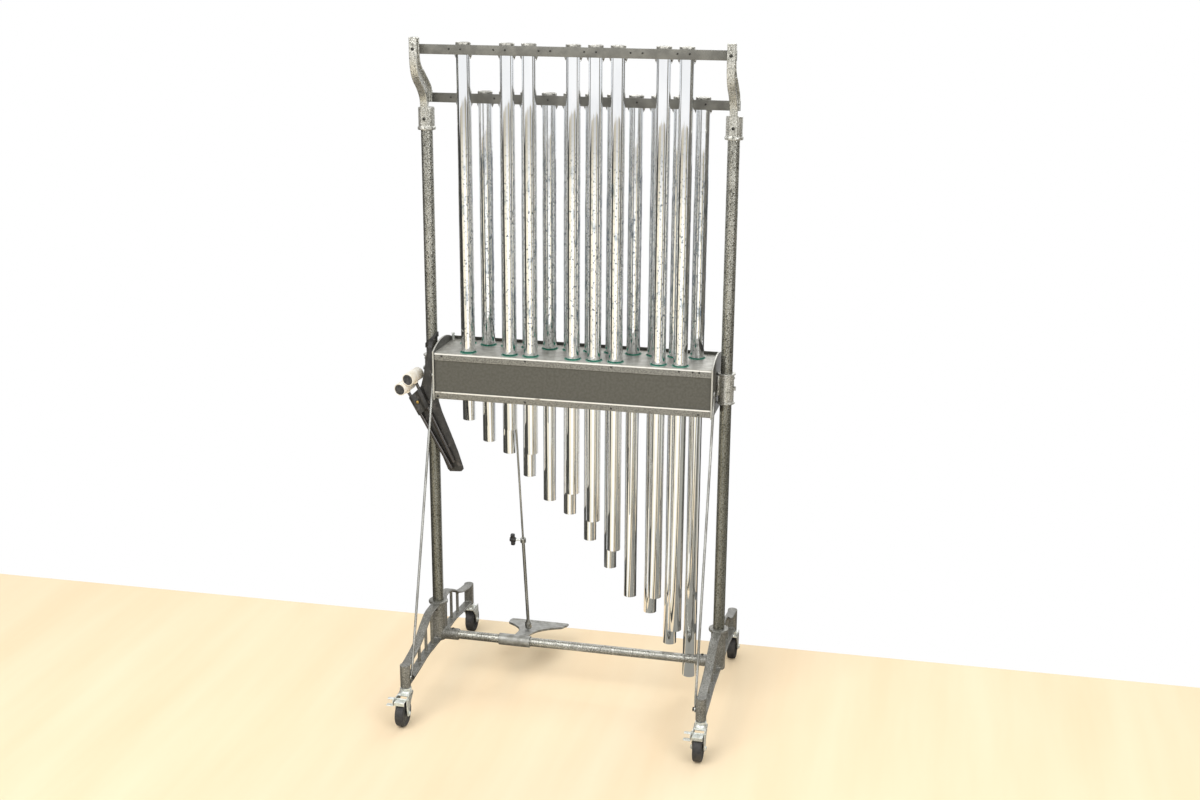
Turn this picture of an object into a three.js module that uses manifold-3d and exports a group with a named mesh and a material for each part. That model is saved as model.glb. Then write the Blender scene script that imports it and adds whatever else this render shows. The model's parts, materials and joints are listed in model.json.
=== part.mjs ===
// Tubular bells: twenty tubes in two rows, hung on cords from two flat rails, with a pedal damper
// box between two posts on cast legs with casters, and two mallets in a holster.
// X runs along the rows, Y from the audience side to the player's side, Z up from the floor.
// All lengths are in millimetres.
import * as THREE from 'three';
import { mergeVertices } from 'three/addons/utils/BufferGeometryUtils.js';
import Module from 'manifold-3d';

const wasm = await Module();
wasm.setup();

// Driving dimensions
const tubeRadius = 19.05;
const tubeWall = 1.65;
const pegGap = 4.45;
const pegOffset = tubeRadius + pegGap; // from a tube's axis to each of its pegs
const pegSpacing = 12; // between the pegs of two tubes
const naturalPitch = 2 * pegOffset + pegSpacing;
const lowTubeSpan = 1715; // sounding span of the lowest tube, its cap's mass counted as length
const capLoading = 71; // the length that the mass of a cap stands for
const sharpRowY = -42;
const naturalRowY = 52;
const naturalCapTop = 1705;
const rowRise = 132;
const sharpCapTop = naturalCapTop + rowRise;
const frontOverhang = 31;
const boxFrontY = sharpRowY - frontOverhang;
const rearOverhang = 45;
const boxRearY = naturalRowY + rearOverhang;
const boxBottom = 876;
const boxHeight = 131;
const boxTop = boxBottom + boxHeight;
const legReach = 292; // from a post's axis to each caster's stem
const wheelRadius = 37.5;
const casterTrail = 28;
const forkHeadroom = 29; // above the wheels
const legUnderside = 2 * wheelRadius + forkHeadroom;
const postRadius = 16;
const postWall = 2;
const postDrop = 55; // below the naturals' caps
const postTop = naturalCapTop - postDrop;
const crossbarRadius = 12.7;
const crossbarWall = 2;
const crossbarRise = 32;
const crossbarHeight = legUnderside + crossbarRise;
const clearance = 0.3; // left between pieces that touch
const overrun = 2; // how far a cut runs past a face

// The notes from left to right, the highest first; a sharp hangs half a place before its natural
const naturals = ['g6', 'f6', 'e6', 'd6', 'c6', 'b5', 'a5', 'g5', 'f5', 'e5', 'd5', 'c5'];
const sharps = ['f6', 'd6', 'c6', 'a5', 'g5', 'f5', 'd5', 'c5'];
const scaleSteps = { c: 0, d: 2, e: 4, f: 5, g: 7, a: 9, b: 11 };
const stepsPerOctave = 12;
const lowestOctaveCount = 5;
const stepsPerHalving = 24; // a bar's pitch goes with the square of its length
const middlePlaceShare = (naturals.length - 1) / 2;
const sharpPlaceShare = 0.5;

const boxPastTubes = 64.5; // from the axes of the outer tubes
const boxHalfLength = middlePlaceShare * naturalPitch + boxPastTubes;
const postPastBox = 25;
const halfSpacing = boxHalfLength + postPastBox; // from the middle to a post's axis
const pedalX = -182;

const finishes = {
  hammertone: { color: 0x6d6c67, roughness: 0.42, metalness: 0.55 },
  greyPaint: { color: 0x77766e, roughness: 0.6, metalness: 0.2 },
  chrome: { color: 0xd9dbdc, roughness: 0.12, metalness: 1 },
  zinc: { color: 0xc9cbc6, roughness: 0.35, metalness: 0.9 },
  aluminium: { color: 0x9c9c98, roughness: 0.5, metalness: 0.7 },
  panel: { color: 0x5b5951, roughness: 0.8, metalness: 0.1 },
  plate: { color: 0xb9b8b0, roughness: 0.5, metalness: 0.4 },
  rubber: { color: 0x26262a, roughness: 0.7, metalness: 0 },
  plastic: { color: 0x202022, roughness: 0.45, metalness: 0 },
  vinyl: { color: 0x2b2a2c, roughness: 0.55, metalness: 0 },
  rawhide: { color: 0xe6dfcf, roughness: 0.6, metalness: 0 },
};

const bells = new THREE.Group();

/** A closed manifold solid from a closed three.js geometry. */
function solidOf(geometry) {
  const bare = geometry.clone();
  bare.deleteAttribute('normal');
  bare.deleteAttribute('uv');
  const merged = mergeVertices(bare);
  const corners = merged.attributes.position;
  const faces = Array.from(merged.index.array).map((n) => n);
  const triangles = [];
  let volume = 0;
  const [a, b, c] = [new THREE.Vector3(), new THREE.Vector3(), new THREE.Vector3()];
  for (let n = 0; n < faces.length; n += 3) {
    const [i, j, k] = faces.slice(n, n + 3);
    if (i === j || j === k || k === i) continue;
    a.fromBufferAttribute(corners, i);
    b.fromBufferAttribute(corners, j);
    c.fromBufferAttribute(corners, k);
    volume += a.dot(b.cross(c));
    triangles.push([i, j, k]);
  }
  const outward = volume < 0 ? triangles.map(([i, j, k]) => [i, k, j]) : triangles;
  return new wasm.Manifold(new wasm.Mesh({
    numProp: 3,
    vertProperties: new Float32Array(corners.array),
    triVerts: new Uint32Array(outward.flat()),
  }));
}

/** One solid joined from several. */
function joined(...solids) {
  return solids.reduce((whole, next) => whole.add(next));
}

/** The first solid with all the others cut away. */
function cutBy(whole, ...cutters) {
  return cutters.reduce((left, cutter) => left.subtract(cutter), whole);
}

/** A box between two corners. */
function block([x0, y0, z0], [x1, y1, z1]) {
  const box = new THREE.BoxGeometry(x1 - x0, y1 - y0, z1 - z0);
  box.translate((x0 + x1) / 2, (y0 + y1) / 2, (z0 + z1) / 2);
  return solidOf(box);
}

/** A round bar between two points, or a taper where a second radius is given. */
function bar(from, to, radius, sides, endRadius = radius) {
  const start = new THREE.Vector3(...from);
  const end = new THREE.Vector3(...to);
  const along = end.clone().sub(start);
  const shape = new THREE.CylinderGeometry(endRadius, radius, along.length(), sides);
  const up = new THREE.Vector3(0, 1, 0);
  shape.applyQuaternion(new THREE.Quaternion().setFromUnitVectors(up, along.normalize()));
  const middle = start.add(end).divideScalar(2);
  shape.translate(middle.x, middle.y, middle.z);
  return solidOf(shape);
}

/** A closed outline of [u, v] points, with round holes [u, v, radius, sides], as a THREE.Shape. */
function outlineOf(points, holes = []) {
  const outline = new THREE.Shape(points.map(([u, v]) => new THREE.Vector2(u, v)));
  for (const [u, v, radius, sides] of holes) {
    const ring = Array.from({ length: sides }, (_, n) => {
      const turn = (2 * Math.PI * n) / sides;
      return new THREE.Vector2(u + radius * Math.cos(turn), v + radius * Math.sin(turn));
    });
    outline.holes.push(new THREE.Path(ring.reverse()));
  }
  return outline;
}

/** A plate with its outline in YZ, from x0 to x1. */
function plateInYZ(points, x0, x1, holes = []) {
  const shape = new THREE.ExtrudeGeometry(outlineOf(points, holes), { depth: x1 - x0, bevelEnabled: false });
  shape.applyMatrix4(new THREE.Matrix4().set(0, 0, 1, x0, 1, 0, 0, 0, 0, 1, 0, 0, 0, 0, 0, 1));
  return solidOf(shape);
}

/** A plate with its outline in XZ, from y0 to y1. */
function plateInXZ(points, y0, y1, holes = []) {
  const shape = new THREE.ExtrudeGeometry(outlineOf(points, holes), { depth: y1 - y0, bevelEnabled: false });
  shape.applyMatrix4(new THREE.Matrix4().set(1, 0, 0, 0, 0, 0, -1, y1, 0, 1, 0, 0, 0, 0, 0, 1));
  return solidOf(shape);
}

/** A plate with its outline in XY, from z0 to z1. */
function plateInXY(points, z0, z1, holes = []) {
  const shape = new THREE.ExtrudeGeometry(outlineOf(points, holes), { depth: z1 - z0, bevelEnabled: false });
  shape.translate(0, 0, z0);
  return solidOf(shape);
}

/** A three.js shape turned about Z from a profile of [radius, z] points. */
function latheOf(profile, sides) {
  const closed = profile.map(([r, z]) => new THREE.Vector2(r, z));
  if (profile[0][0] !== 0) closed.push(closed[0].clone());
  const shape = new THREE.LatheGeometry(closed, sides);
  shape.rotateX(Math.PI / 2);
  return shape;
}

/** A solid turned about Z from a profile of [radius, z] points. */
function turned(profile, sides) {
  return solidOf(latheOf(profile, sides));
}

/** The corners of a rectangle, for an outline. */
function rectangle(u0, u1, v0, v1) {
  return [[u0, v0], [u1, v0], [u1, v1], [u0, v1]];
}

/** Points on an arc of an outline, from one angle to another, in degrees. */
function arc(u, v, radius, fromDegrees, toDegrees, steps) {
  return Array.from({ length: steps + 1 }, (_, n) => {
    const turn = THREE.MathUtils.degToRad(fromDegrees + ((toDegrees - fromDegrees) * n) / steps);
    return [u + radius * Math.cos(turn), v + radius * Math.sin(turn)];
  });
}

/** A smooth line through [u, v] points. */
function smooth(points) {
  return new THREE.SplineCurve(points.map(([u, v]) => new THREE.Vector2(u, v)));
}

/** The outline of a strip of even thickness along a smooth line. */
function stripAlong(line, thickness, steps) {
  const over = [];
  const under = [];
  for (let n = 0; n <= steps; n += 1) {
    const point = line.getPoint(n / steps);
    const along = line.getTangent(n / steps);
    const half = thickness / 2;
    over.push([point.x - along.y * half, point.y + along.x * half]);
    under.unshift([point.x + along.y * half, point.y - along.x * half]);
  }
  return [...over, ...under];
}

/** Points spread evenly along a smooth line, as [u, v]. */
function pointsOn(line, steps) {
  return Array.from({ length: steps + 1 }, (_, n) => line.getPoint(n / steps).toArray());
}

/** The height of a smooth line at u, found by halving, where u grows along it. */
function heightAt(line, u) {
  const halvings = 24;
  let [low, high] = [0, 1];
  for (let n = 0; n < halvings; n += 1) {
    const middle = (low + high) / 2;
    if (line.getPoint(middle).x < u) low = middle;
    else high = middle;
  }
  return line.getPoint(low).y;
}

/** Adds one named piece to the bells, at its place and turn. */
function piece(name, solid, finish, place = [0, 0, 0], turn = [0, 0, 0]) {
  const { vertProperties, numProp, triVerts } = solid.getMesh();
  const corners = [];
  for (let n = 0; n < vertProperties.length; n += numProp) {
    corners.push(vertProperties[n], vertProperties[n + 1], vertProperties[n + 2]);
  }
  const geometry = new THREE.BufferGeometry();
  geometry.setAttribute('position', new THREE.Float32BufferAttribute(corners, 3));
  geometry.setIndex(Array.from(triVerts));
  geometry.computeVertexNormals();
  const mesh = new THREE.Mesh(geometry, new THREE.MeshStandardMaterial(finish));
  mesh.name = name;
  mesh.position.set(...place);
  mesh.rotation.set(...turn);
  bells.add(mesh);
  return mesh;
}

const bothSides = [['left', -1], ['right', 1]];

// Rails and the pegs that carry the cords
const railHeight = 25;
const railThickness = 6;
const capRise = 5.5; // how far a cap stands above its rail
const upperRailSetback = 28;
const upperRailFrontY = sharpRowY - upperRailSetback;
const lowerRailSetback = 26;
const lowerRailFrontY = naturalRowY - lowerRailSetback;
const pegRadius = 2.5;
const pegDrop = 15; // from a cap's top to its pegs
const pegPastTube = 5; // how far a peg runs past the tube's axis
const pegSides = 6;
const pinSides = 8;
const cordThickness = 2.4;
const loopSteps = 3;
const cordDrop = 22; // from the peg down to the hole in the tube's wall

const tubeX = (place) => (place - middlePlaceShare) * naturalPitch;
const sharpPlace = (note) => naturals.indexOf(note) - sharpPlaceShare;
const tubeSides = 12;
const capRadius = 20;
const capHeight = 9;
const capDepth = 14; // how deep the pressed-in cap fills the tube

/** The steps from the lowest tube up to a note such as 'g6'. */
function stepsUp(note) {
  const [letter, octave] = note;
  return stepsPerOctave * (Number(octave) - lowestOctaveCount) + scaleSteps[letter];
}

/** A tube with its cap and cord loops, about the line of its pegs. */
function tube(name, place, steps, rowY, capTop) {
  const length = lowTubeSpan * 2 ** (-steps / stepsPerHalving) - capLoading;
  const low = pegDrop - length;
  const bore = tubeRadius - tubeWall;
  const body = turned([
    [0, pegDrop], [capRadius, pegDrop], [capRadius, pegDrop - capHeight], [tubeRadius, pegDrop - capHeight],
    [tubeRadius, low], [bore, low], [bore, pegDrop - capDepth], [0, pegDrop - capDepth],
  ], tubeSides);
  const inner = (pegRadius + clearance) / Math.cos(Math.PI / (2 * loopSteps));
  const outer = inner + cordThickness;
  const loops = [-1, 1].map((side) => {
    const x = side * pegOffset;
    const around = [...arc(x, 0, outer, 0, 180, loopSteps), ...arc(x, -cordDrop, outer, 180, 360, loopSteps)];
    const within = [...arc(x, 0, inner, 0, 180, loopSteps), ...arc(x, -cordDrop, inner, 180, 360, loopSteps)];
    const loop = plateInXZ(around, -cordThickness / 2, cordThickness / 2);
    const slot = plateInXZ(within, -cordThickness, cordThickness);
    return loop.subtract(slot);
  });
  const pegLine = [tubeX(place), rowY, capTop - pegDrop];
  return piece(`tube_${name}`, joined(body, ...loops), finishes.chrome, pegLine);
}

/** A rail with two pegs behind it for each of its tubes. */
function rail(name, frontY, capTop, halfLength, rowY, places) {
  const top = capTop - capRise;
  const flat = block([-halfLength, frontY, top - railHeight], [halfLength, frontY + railThickness, top]);
  const pegs = places.flatMap((place) => [-1, 1].map((side) => {
    const x = tubeX(place) + side * pegOffset;
    const z = capTop - pegDrop;
    return bar([x, frontY + railThickness / 2, z], [x, rowY + pegPastTube, z], pegRadius, pegSides);
  }));
  return piece(name, joined(flat, ...pegs), finishes.greyPaint);
}

// Top brackets: a sleeve on the post, and a curved arm of I section up to the rails
const bracketWidth = 21;
const bracketWeb = 5;
const bracketFlange = 5;
const sleeveRadius = 22;
const sleeveDepth = 46;
const sleeveBottom = postTop - sleeveDepth;
const sleeveRise = 14;
const sleeveTop = postTop + sleeveRise;
const sleeveRing = 24.5;
const sleeveRingHeight = 8;
const armRise = 13;
const armTop = sharpCapTop + armRise;
const armDepth = 22; // between the middles of the two flanges at the top
const armFootY = -19;
const shoulderDepth = 8;
const armShoulderY = lowerRailFrontY - shoulderDepth; // the rear flange where the lower rail seats
const shoulderDrop = 29;
const shoulderLow = naturalCapTop - shoulderDrop;
const shoulderRise = 7;
const shoulderHigh = naturalCapTop + shoulderRise;
const armSteps = 11;
const lighteningRadius = 5;
const roundSides = 16;

// Where the arm's flanges pass, as shares of the way forward and of the way up to the arm's top
const armFrontShares = [[0.074, 0.15], [0.362, 0.29], [0.693, 0.4], [0.902, 0.52], [1, 0.7]];
const armRearShares = [[0.205, 0.36], [0.549, 0.49], [0.898, 0.62], [1, 0.77]];
const lighteningShares = [[0.58, 0.56], [0.3, 0.36]];

/** A top bracket; the arm curves from the sleeve towards the upper rail. */
function topBracket(label, side) {
  const armRearY = upperRailFrontY - clearance - bracketFlange / 2;
  const armFrontY = armRearY - armDepth;
  const armEnd = armTop - bracketFlange / 2;
  const between = (fromY, toY) => ([yShare, zShare]) => [
    THREE.MathUtils.lerp(fromY, toY, yShare),
    THREE.MathUtils.lerp(sleeveTop, armTop, zShare),
  ];
  const frontLine = smooth([
    [armFootY, sleeveBottom + sleeveRingHeight],
    [armFootY, sleeveTop],
    ...armFrontShares.map(between(armFootY, armFrontY)),
    [armFrontY, armEnd],
  ]);
  const rearLine = smooth([
    [armShoulderY, shoulderLow],
    [armShoulderY, shoulderHigh],
    ...armRearShares.map(between(armShoulderY, armRearY)),
    [armRearY, armEnd],
  ]);
  const half = bracketWidth / 2;
  const front = plateInYZ(stripAlong(frontLine, bracketFlange, armSteps), -half, half);
  const rear = plateInYZ(stripAlong(rearLine, bracketFlange, armSteps), -half, half);
  const webOutline = [...pointsOn(rearLine, armSteps), ...pointsOn(frontLine, armSteps).reverse()];
  const web = plateInYZ(webOutline, -bracketWeb / 2, bracketWeb / 2);
  const crown = block([-half, armFrontY - bracketFlange / 2, armTop - bracketFlange],
    [half, armRearY + bracketFlange / 2, armTop]);
  const sleeve = bar([0, 0, sleeveBottom], [0, 0, sleeveTop], sleeveRadius, roundSides);
  const ring = bar([0, 0, sleeveBottom], [0, 0, sleeveBottom + sleeveRingHeight], sleeveRing, roundSides);
  const seatRearY = lowerRailFrontY - clearance;
  const seat = block([-half, armShoulderY, shoulderLow], [half, seatRearY, shoulderHigh - bracketFlange]);
  const boreTop = [0, 0, postTop + clearance];
  const bore = bar([0, 0, sleeveBottom - overrun], boreTop, postRadius + clearance, roundSides);
  const lightenings = lighteningShares.map(between(armShoulderY, armFrontY)).map(([y, z]) => (
    bar([-bracketWidth, y, z], [bracketWidth, y, z], lighteningRadius, pinSides)));
  const whole = cutBy(joined(web, front, rear, crown, sleeve, ring, seat), bore, ...lightenings);
  return piece(`top_bracket_${label}`, whole, finishes.hammertone, [side * halfSpacing, 0, 0]);
}

// Leg castings
const barrelRadius = 21;
const barrelRise = 14;
const barrelBottom = legUnderside + barrelRise;
const barrelLength = 123;
const barrelTop = barrelBottom + barrelLength;
const barrelFloor = 7;
const collarRadius = 28;
const collarHeight = 9;
const flangeWidth = 25;
const upperFlange = 6;
const lowerFlange = 7;
const bossRadius = 14.5;
const bossHeight = 66;
const bossTop = legUnderside + bossHeight;
const stemRadius = 5.5;
const stemDepth = 42;
const crossBossRadius = 17;
const crossBossReach = 62;
const crossBossBore = 38;
const ribRadius = 4.5;
const ribSides = 6;
const legSteps = 7;

// Where a leg's ribs and flanges pass, as shares of its reach and of its height at the barrel
const ribShares = [0.22, 0.4, 0.6];
const upperFlangeShares = [[0, 0.95], [0.27, 0.96], [0.44, 0.82], [0.6, 0.64], [0.77, 0.53], [1, 0.45]];
const lowerFlangeShares = [[0, 0.13], [0.22, 0.145], [0.46, 0.15], [0.7, 0.09], [1, 0.04]];

/** The middle lines of a leg's upper and lower flange. */
function legLines() {
  return [upperFlangeShares, lowerFlangeShares].map((shares) => smooth(shares.map(([yShare, zShare]) => [
    yShare * legReach,
    THREE.MathUtils.lerp(legUnderside, barrelTop, zShare),
  ])));
}

/** A leg casting: post socket, two open arms on round ribs, end bosses and the crossbar's boss. */
function leg(label, side) {
  const half = flangeWidth / 2;
  const [upper, lower] = legLines();
  const mirrored = (points) => points.map(([y, z]) => [-y, z]).reverse();
  const parts = [
    bar([0, 0, barrelBottom], [0, 0, barrelTop], barrelRadius, roundSides),
    bar([0, 0, barrelTop - collarHeight], [0, 0, barrelTop], collarRadius, roundSides),
    bar([0, 0, crossbarHeight], [-side * crossBossReach, 0, crossbarHeight], crossBossRadius, roundSides),
  ];
  const cutters = [
    bar([0, 0, barrelBottom + barrelFloor], [0, 0, barrelTop + overrun], postRadius + clearance, roundSides),
    bar([-side * (crossBossReach - crossBossBore), 0, crossbarHeight],
      [-side * (crossBossReach + overrun), 0, crossbarHeight], crossbarRadius + clearance, roundSides),
  ];
  for (const [line, thickness] of [[upper, upperFlange], [lower, lowerFlange]]) {
    const strip = stripAlong(line, thickness, legSteps);
    parts.push(plateInYZ(strip, -half, half), plateInYZ(mirrored(strip), -half, half));
  }
  for (const way of [-1, 1]) {
    const y = way * legReach;
    parts.push(bar([0, y, legUnderside], [0, y, bossTop], bossRadius, roundSides));
    cutters.push(bar([0, y, legUnderside - overrun], [0, y, legUnderside + stemDepth + overrun],
      stemRadius + clearance, roundSides));
    for (const share of ribShares) {
      const at = share * legReach;
      const ribFoot = [0, way * at, heightAt(lower, at)];
      parts.push(bar(ribFoot, [0, way * at, heightAt(upper, at)], ribRadius, ribSides));
    }
  }
  const casting = cutBy(joined(...parts), ...cutters);
  return piece(`leg_${label}`, casting, finishes.hammertone, [side * halfSpacing, 0, 0]);
}

/** A round pipe along Z. */
function pipe(radius, wall, low, high) {
  const inner = radius - wall;
  return turned([[radius, low], [radius, high], [inner, high], [inner, low]], roundSides);
}

/** A post, standing on the floor of its leg's socket. */
function post(label, side) {
  const low = barrelBottom + barrelFloor + clearance;
  const shape = pipe(postRadius, postWall, low, postTop);
  return piece(`post_${label}`, shape, finishes.hammertone, [side * halfSpacing, 0, 0]);
}

/** The crossbar, with its ends in the bosses of the two legs. */
function crossbar() {
  const half = halfSpacing - (crossBossReach - crossBossBore) - clearance;
  const shape = pipe(crossbarRadius, crossbarWall, -half, half);
  return piece('crossbar', shape, finishes.hammertone, [0, 0, crossbarHeight], [0, Math.PI / 2, 0]);
}

// Damper box
const plateThickness = 3;
const lipHeight = 21;
const lipThickness = 2.5;
const endPlate = 5;
const endMargin = 3;
const rearWallRise = 8; // how far the rear panel stands above the top plate
const archRise = 22; // how far an end plate's top edge rises at its middle
const archSteps = 8;
const panelThickness = 1.5;
const tubeHoleRadius = 22.3;
const holeSides = 12;
const tubeHoleSides = 10;
const rodSlotHalfWidth = 9;
const dividingY = (sharpRowY + naturalRowY) / 2; // the middle of the corridor between the two rows
const rodSlotAhead = 8;
const rodSlotFrontY = dividingY - rodSlotAhead;
const rodSlotBehind = 28;
const rodSlotRearY = dividingY + rodSlotBehind;

/** The holes for all the tubes, as holes of an outline in XY. */
function tubeHoles() {
  const rowHoles = (places, y) => places.map((place) => [tubeX(place), y, tubeHoleRadius, tubeHoleSides]);
  return [...rowHoles([...naturals.keys()], naturalRowY), ...rowHoles(sharps.map(sharpPlace), sharpRowY)];
}

/** The four walls and lips that close the damper box, its guide pillar and its stud. */
function damperBox() {
  const inside = boxHalfLength - endPlate - clearance;
  const wide = rectangle(-inside, inside, boxFrontY, boxRearY);
  const lips = (z0, z1) => [
    block([-inside, boxFrontY, z0], [inside, boxFrontY + lipThickness, z1]),
    block([-inside, boxRearY - lipThickness, z0], [inside, boxRearY, z1]),
  ];
  const studX = -boxHalfLength + studInset;
  const lid = plateInXY(wide, boxTop - plateThickness, boxTop, tubeHoles());
  const top = joined(lid, ...lips(boxTop - lipHeight, boxTop));
  const studHole = bar([studX, studY, boxTop - lipHeight], [studX, studY, boxTop + overrun],
    studShank + clearance, pinSides);
  piece('box_top_plate', top.subtract(studHole), finishes.plate);

  const floorTop = boxBottom + plateThickness;
  const slot = block([pedalX - rodSlotHalfWidth, rodSlotFrontY, boxBottom - overrun],
    [pedalX + rodSlotHalfWidth, rodSlotRearY, floorTop + overrun]);
  const pillarX = pedalX + pillarOffset;
  const pillarTop = [pillarX, dividingY, boxTop - plateThickness - clearance];
  const pillar = bar([pillarX, dividingY, boxBottom], pillarTop, pillarRadius, holeSides);
  const base = plateInXY(wide, boxBottom, floorTop, tubeHoles());
  const floor = joined(base, ...lips(boxBottom, boxBottom + lipHeight));
  piece('box_bottom_plate', joined(floor.subtract(slot), pillar), finishes.plate);

  const panelLow = floorTop + clearance;
  const panelHigh = boxTop - plateThickness - clearance;
  const frontY = boxFrontY + lipThickness + clearance;
  const frontWall = block([-inside, frontY, panelLow], [inside, frontY + panelThickness, panelHigh]);
  piece('box_front_panel', frontWall, finishes.panel);
  const rearY = boxRearY + clearance;
  const rearTop = boxTop + rearWallRise;
  const rearWall = block([-inside, rearY, boxBottom], [inside, rearY + panelThickness, rearTop]);
  piece('box_rear_panel', rearWall, finishes.panel);

  const shankLow = boxTop - plateThickness - studHead;
  const stud = joined(
    bar([studX, studY, shankLow], [studX, studY, boxTop + studHead], studShank, pinSides),
    bar([studX, studY, boxTop + clearance], [studX, studY, boxTop + studHeight], studRadius, holeSides),
  );
  piece('box_top_stud', stud, finishes.zinc);
}

/** An end plate of the box, with an arched top edge and holes for the damper boards' pivots. */
function boxEnd(label, side) {
  const [front, rear] = [boxFrontY - endMargin, boxRearY + endMargin];
  const [low, high] = [boxBottom - endMargin, boxTop + endMargin];
  const halfSpan = (rear - front) / 2;
  const arch = Array.from({ length: archSteps + 1 }, (_, n) => {
    const across = 1 - (2 * n) / archSteps;
    return [front + halfSpan * (1 + across), high + archRise * (1 - across * across)];
  });
  const outline = [[front, low], [rear, low], ...arch];
  const inner = side * (boxHalfLength - endPlate);
  const outer = side * boxHalfLength;
  const holes = [-1, 1].map((way) => (
    [dividingY + way * boardMiddle, boardPivotHeight, boardPin + clearance, pinSides]));
  const plate = plateInYZ(outline, Math.min(inner, outer), Math.max(inner, outer), holes);
  return piece(`box_end_${label}`, plate, finishes.hammertone);
}

// Clamps between the box and the posts
const clampRadius = 21;
const clampRise = 24;
const clampLow = boxBottom + clampRise;
const clampDrop = 23;
const clampHigh = boxTop - clampDrop;
const clampFlange = 25;
const clampFlangeHeight = 4;
const lugHalfWidth = 18;
const lugRise = 49;
const lugLow = boxBottom + lugRise;
const lugDrop = 27;
const lugHigh = boxTop - lugDrop;

/** A clamp: a flanged sleeve on the post with a lug against the end plate. */
function clamp(label, side) {
  const sleeve = bar([0, 0, clampLow], [0, 0, clampHigh], clampRadius, roundSides);
  const rings = [clampLow, clampHigh - clampFlangeHeight].map((z) => (
    bar([0, 0, z], [0, 0, z + clampFlangeHeight], clampFlange, roundSides)));
  const face = -side * (halfSpacing - boxHalfLength - clearance);
  const lug = block([Math.min(face, 0), -lugHalfWidth, lugLow], [Math.max(face, 0), lugHalfWidth, lugHigh]);
  const faceCut = block(
    [Math.min(face, face * 2), -clampFlange * 2, clampLow - overrun],
    [Math.max(face, face * 2), clampFlange * 2, clampHigh + overrun]);
  const boreTop = [0, 0, clampHigh + overrun];
  const bore = bar([0, 0, clampLow - overrun], boreTop, postRadius + clearance, roundSides);
  return piece(`box_clamp_${label}`, cutBy(joined(sleeve, ...rings, lug), faceCut, bore),
    finishes.hammertone, [side * halfSpacing, 0, 0]);
}

// Stay rods from the box ends to the front bosses of the legs
const stayRadius = 3.5;
const stayEyeRadius = 8;
const stayEyeThickness = 4;
const stayInset = 11;
const stayTopY = boxFrontY + stayInset;
const stayRise = 64;
const stayTopZ = boxBottom + stayRise;
const stayFootHeight = 28;
const stayFootZ = legUnderside + stayFootHeight;
const stayFootRise = 3; // the eye sits this far behind the boss's axis

/** A stay rod with a flat eye at each end, one against the box end and one against the leg's boss. */
function stay(label, side) {
  const topFace = boxHalfLength + clearance;
  const footFace = halfSpacing - bossRadius - clearance;
  const footY = -legReach + stayFootRise;
  const eye = (x, y, z) => (
    bar([side * x, y, z], [side * (x + stayEyeThickness), y, z], stayEyeRadius, holeSides));
  const shank = bar([side * (topFace + stayRadius), stayTopY, stayTopZ],
    [side * (footFace - stayRadius), footY, stayFootZ], stayRadius, ribSides);
  const eyes = [eye(topFace, stayTopY, stayTopZ), eye(footFace - stayEyeThickness, footY, stayFootZ)];
  return piece(`stay_rod_${label}`, joined(shank, ...eyes), finishes.zinc);
}

// Stud on the top plate
const studInset = 12;
const studFromRear = 20;
const studY = boxRearY - studFromRear;
const studRadius = 4.5;
const studShank = 3;
const studHead = 4;
const studHeight = 22;

// Damper boards, crosshead and guide pillar
const boardThickness = 3;
const boardMiddle = 15.5; // from the middle of the corridor to a board's middle
const pivotDrop = 17;
const boardPivotHeight = boxTop - pivotDrop;
const boardRise = 46;
const boardLow = boxBottom + boardRise;
const boardPin = 3;
const boardPinReach = 3;
const boardEndGap = 1;
const feltInset = 3;
const feltLow = boardLow + feltInset;
const feltHeight = 37;
const feltHigh = feltLow + feltHeight;
const feltGap = 0.7; // between a felt and its tubes at rest
const pillarRadius = 5;
const pillarOffset = 22;
const wedgePastPillar = 18;
const wedgeOffset = pillarOffset + wedgePastPillar;
const wedgeLength = 16;
const rodPinRise = 54;
const rodPinHeight = boxBottom + rodPinRise;
const wedgeDrop = 20;
const wedgeLow = rodPinHeight - wedgeDrop;
const wedgeFlat = 14;
const wedgeFlatTop = wedgeLow + wedgeFlat;
const wedgeTaper = 31;
const wedgeTop = wedgeFlatTop + wedgeTaper;
const wedgeSlope = 0.17;
const crossheadHalfDepth = 8;
const crossheadHalfHeight = 14;
const rodPinRadius = 3;
const eyeRadius = 7;
const eyeWidth = 8;
const earWidth = 6;

/** A damper board with its felt and pivot pins, hanging beside its row of tubes. */
function damperBoard(label, way, rowY) {
  const half = boxHalfLength - endPlate - boardEndGap;
  const middleY = dividingY + way * boardMiddle;
  const tubeFace = rowY - way * (tubeRadius + feltGap) - middleY;
  const sheet = block([-half, -boardThickness / 2, boardLow - boardPivotHeight],
    [half, boardThickness / 2, boardPin]);
  const felt = block([-half, Math.min(0, tubeFace), feltLow - boardPivotHeight],
    [half, Math.max(0, tubeFace), feltHigh - boardPivotHeight]);
  const pins = bar([-half - boardPinReach, 0, 0], [half + boardPinReach, 0, 0], boardPin, pinSides);
  return piece(`damper_board_${label}`, joined(sheet, felt, pins), finishes.greyPaint,
    [0, middleY, boardPivotHeight]);
}

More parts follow.
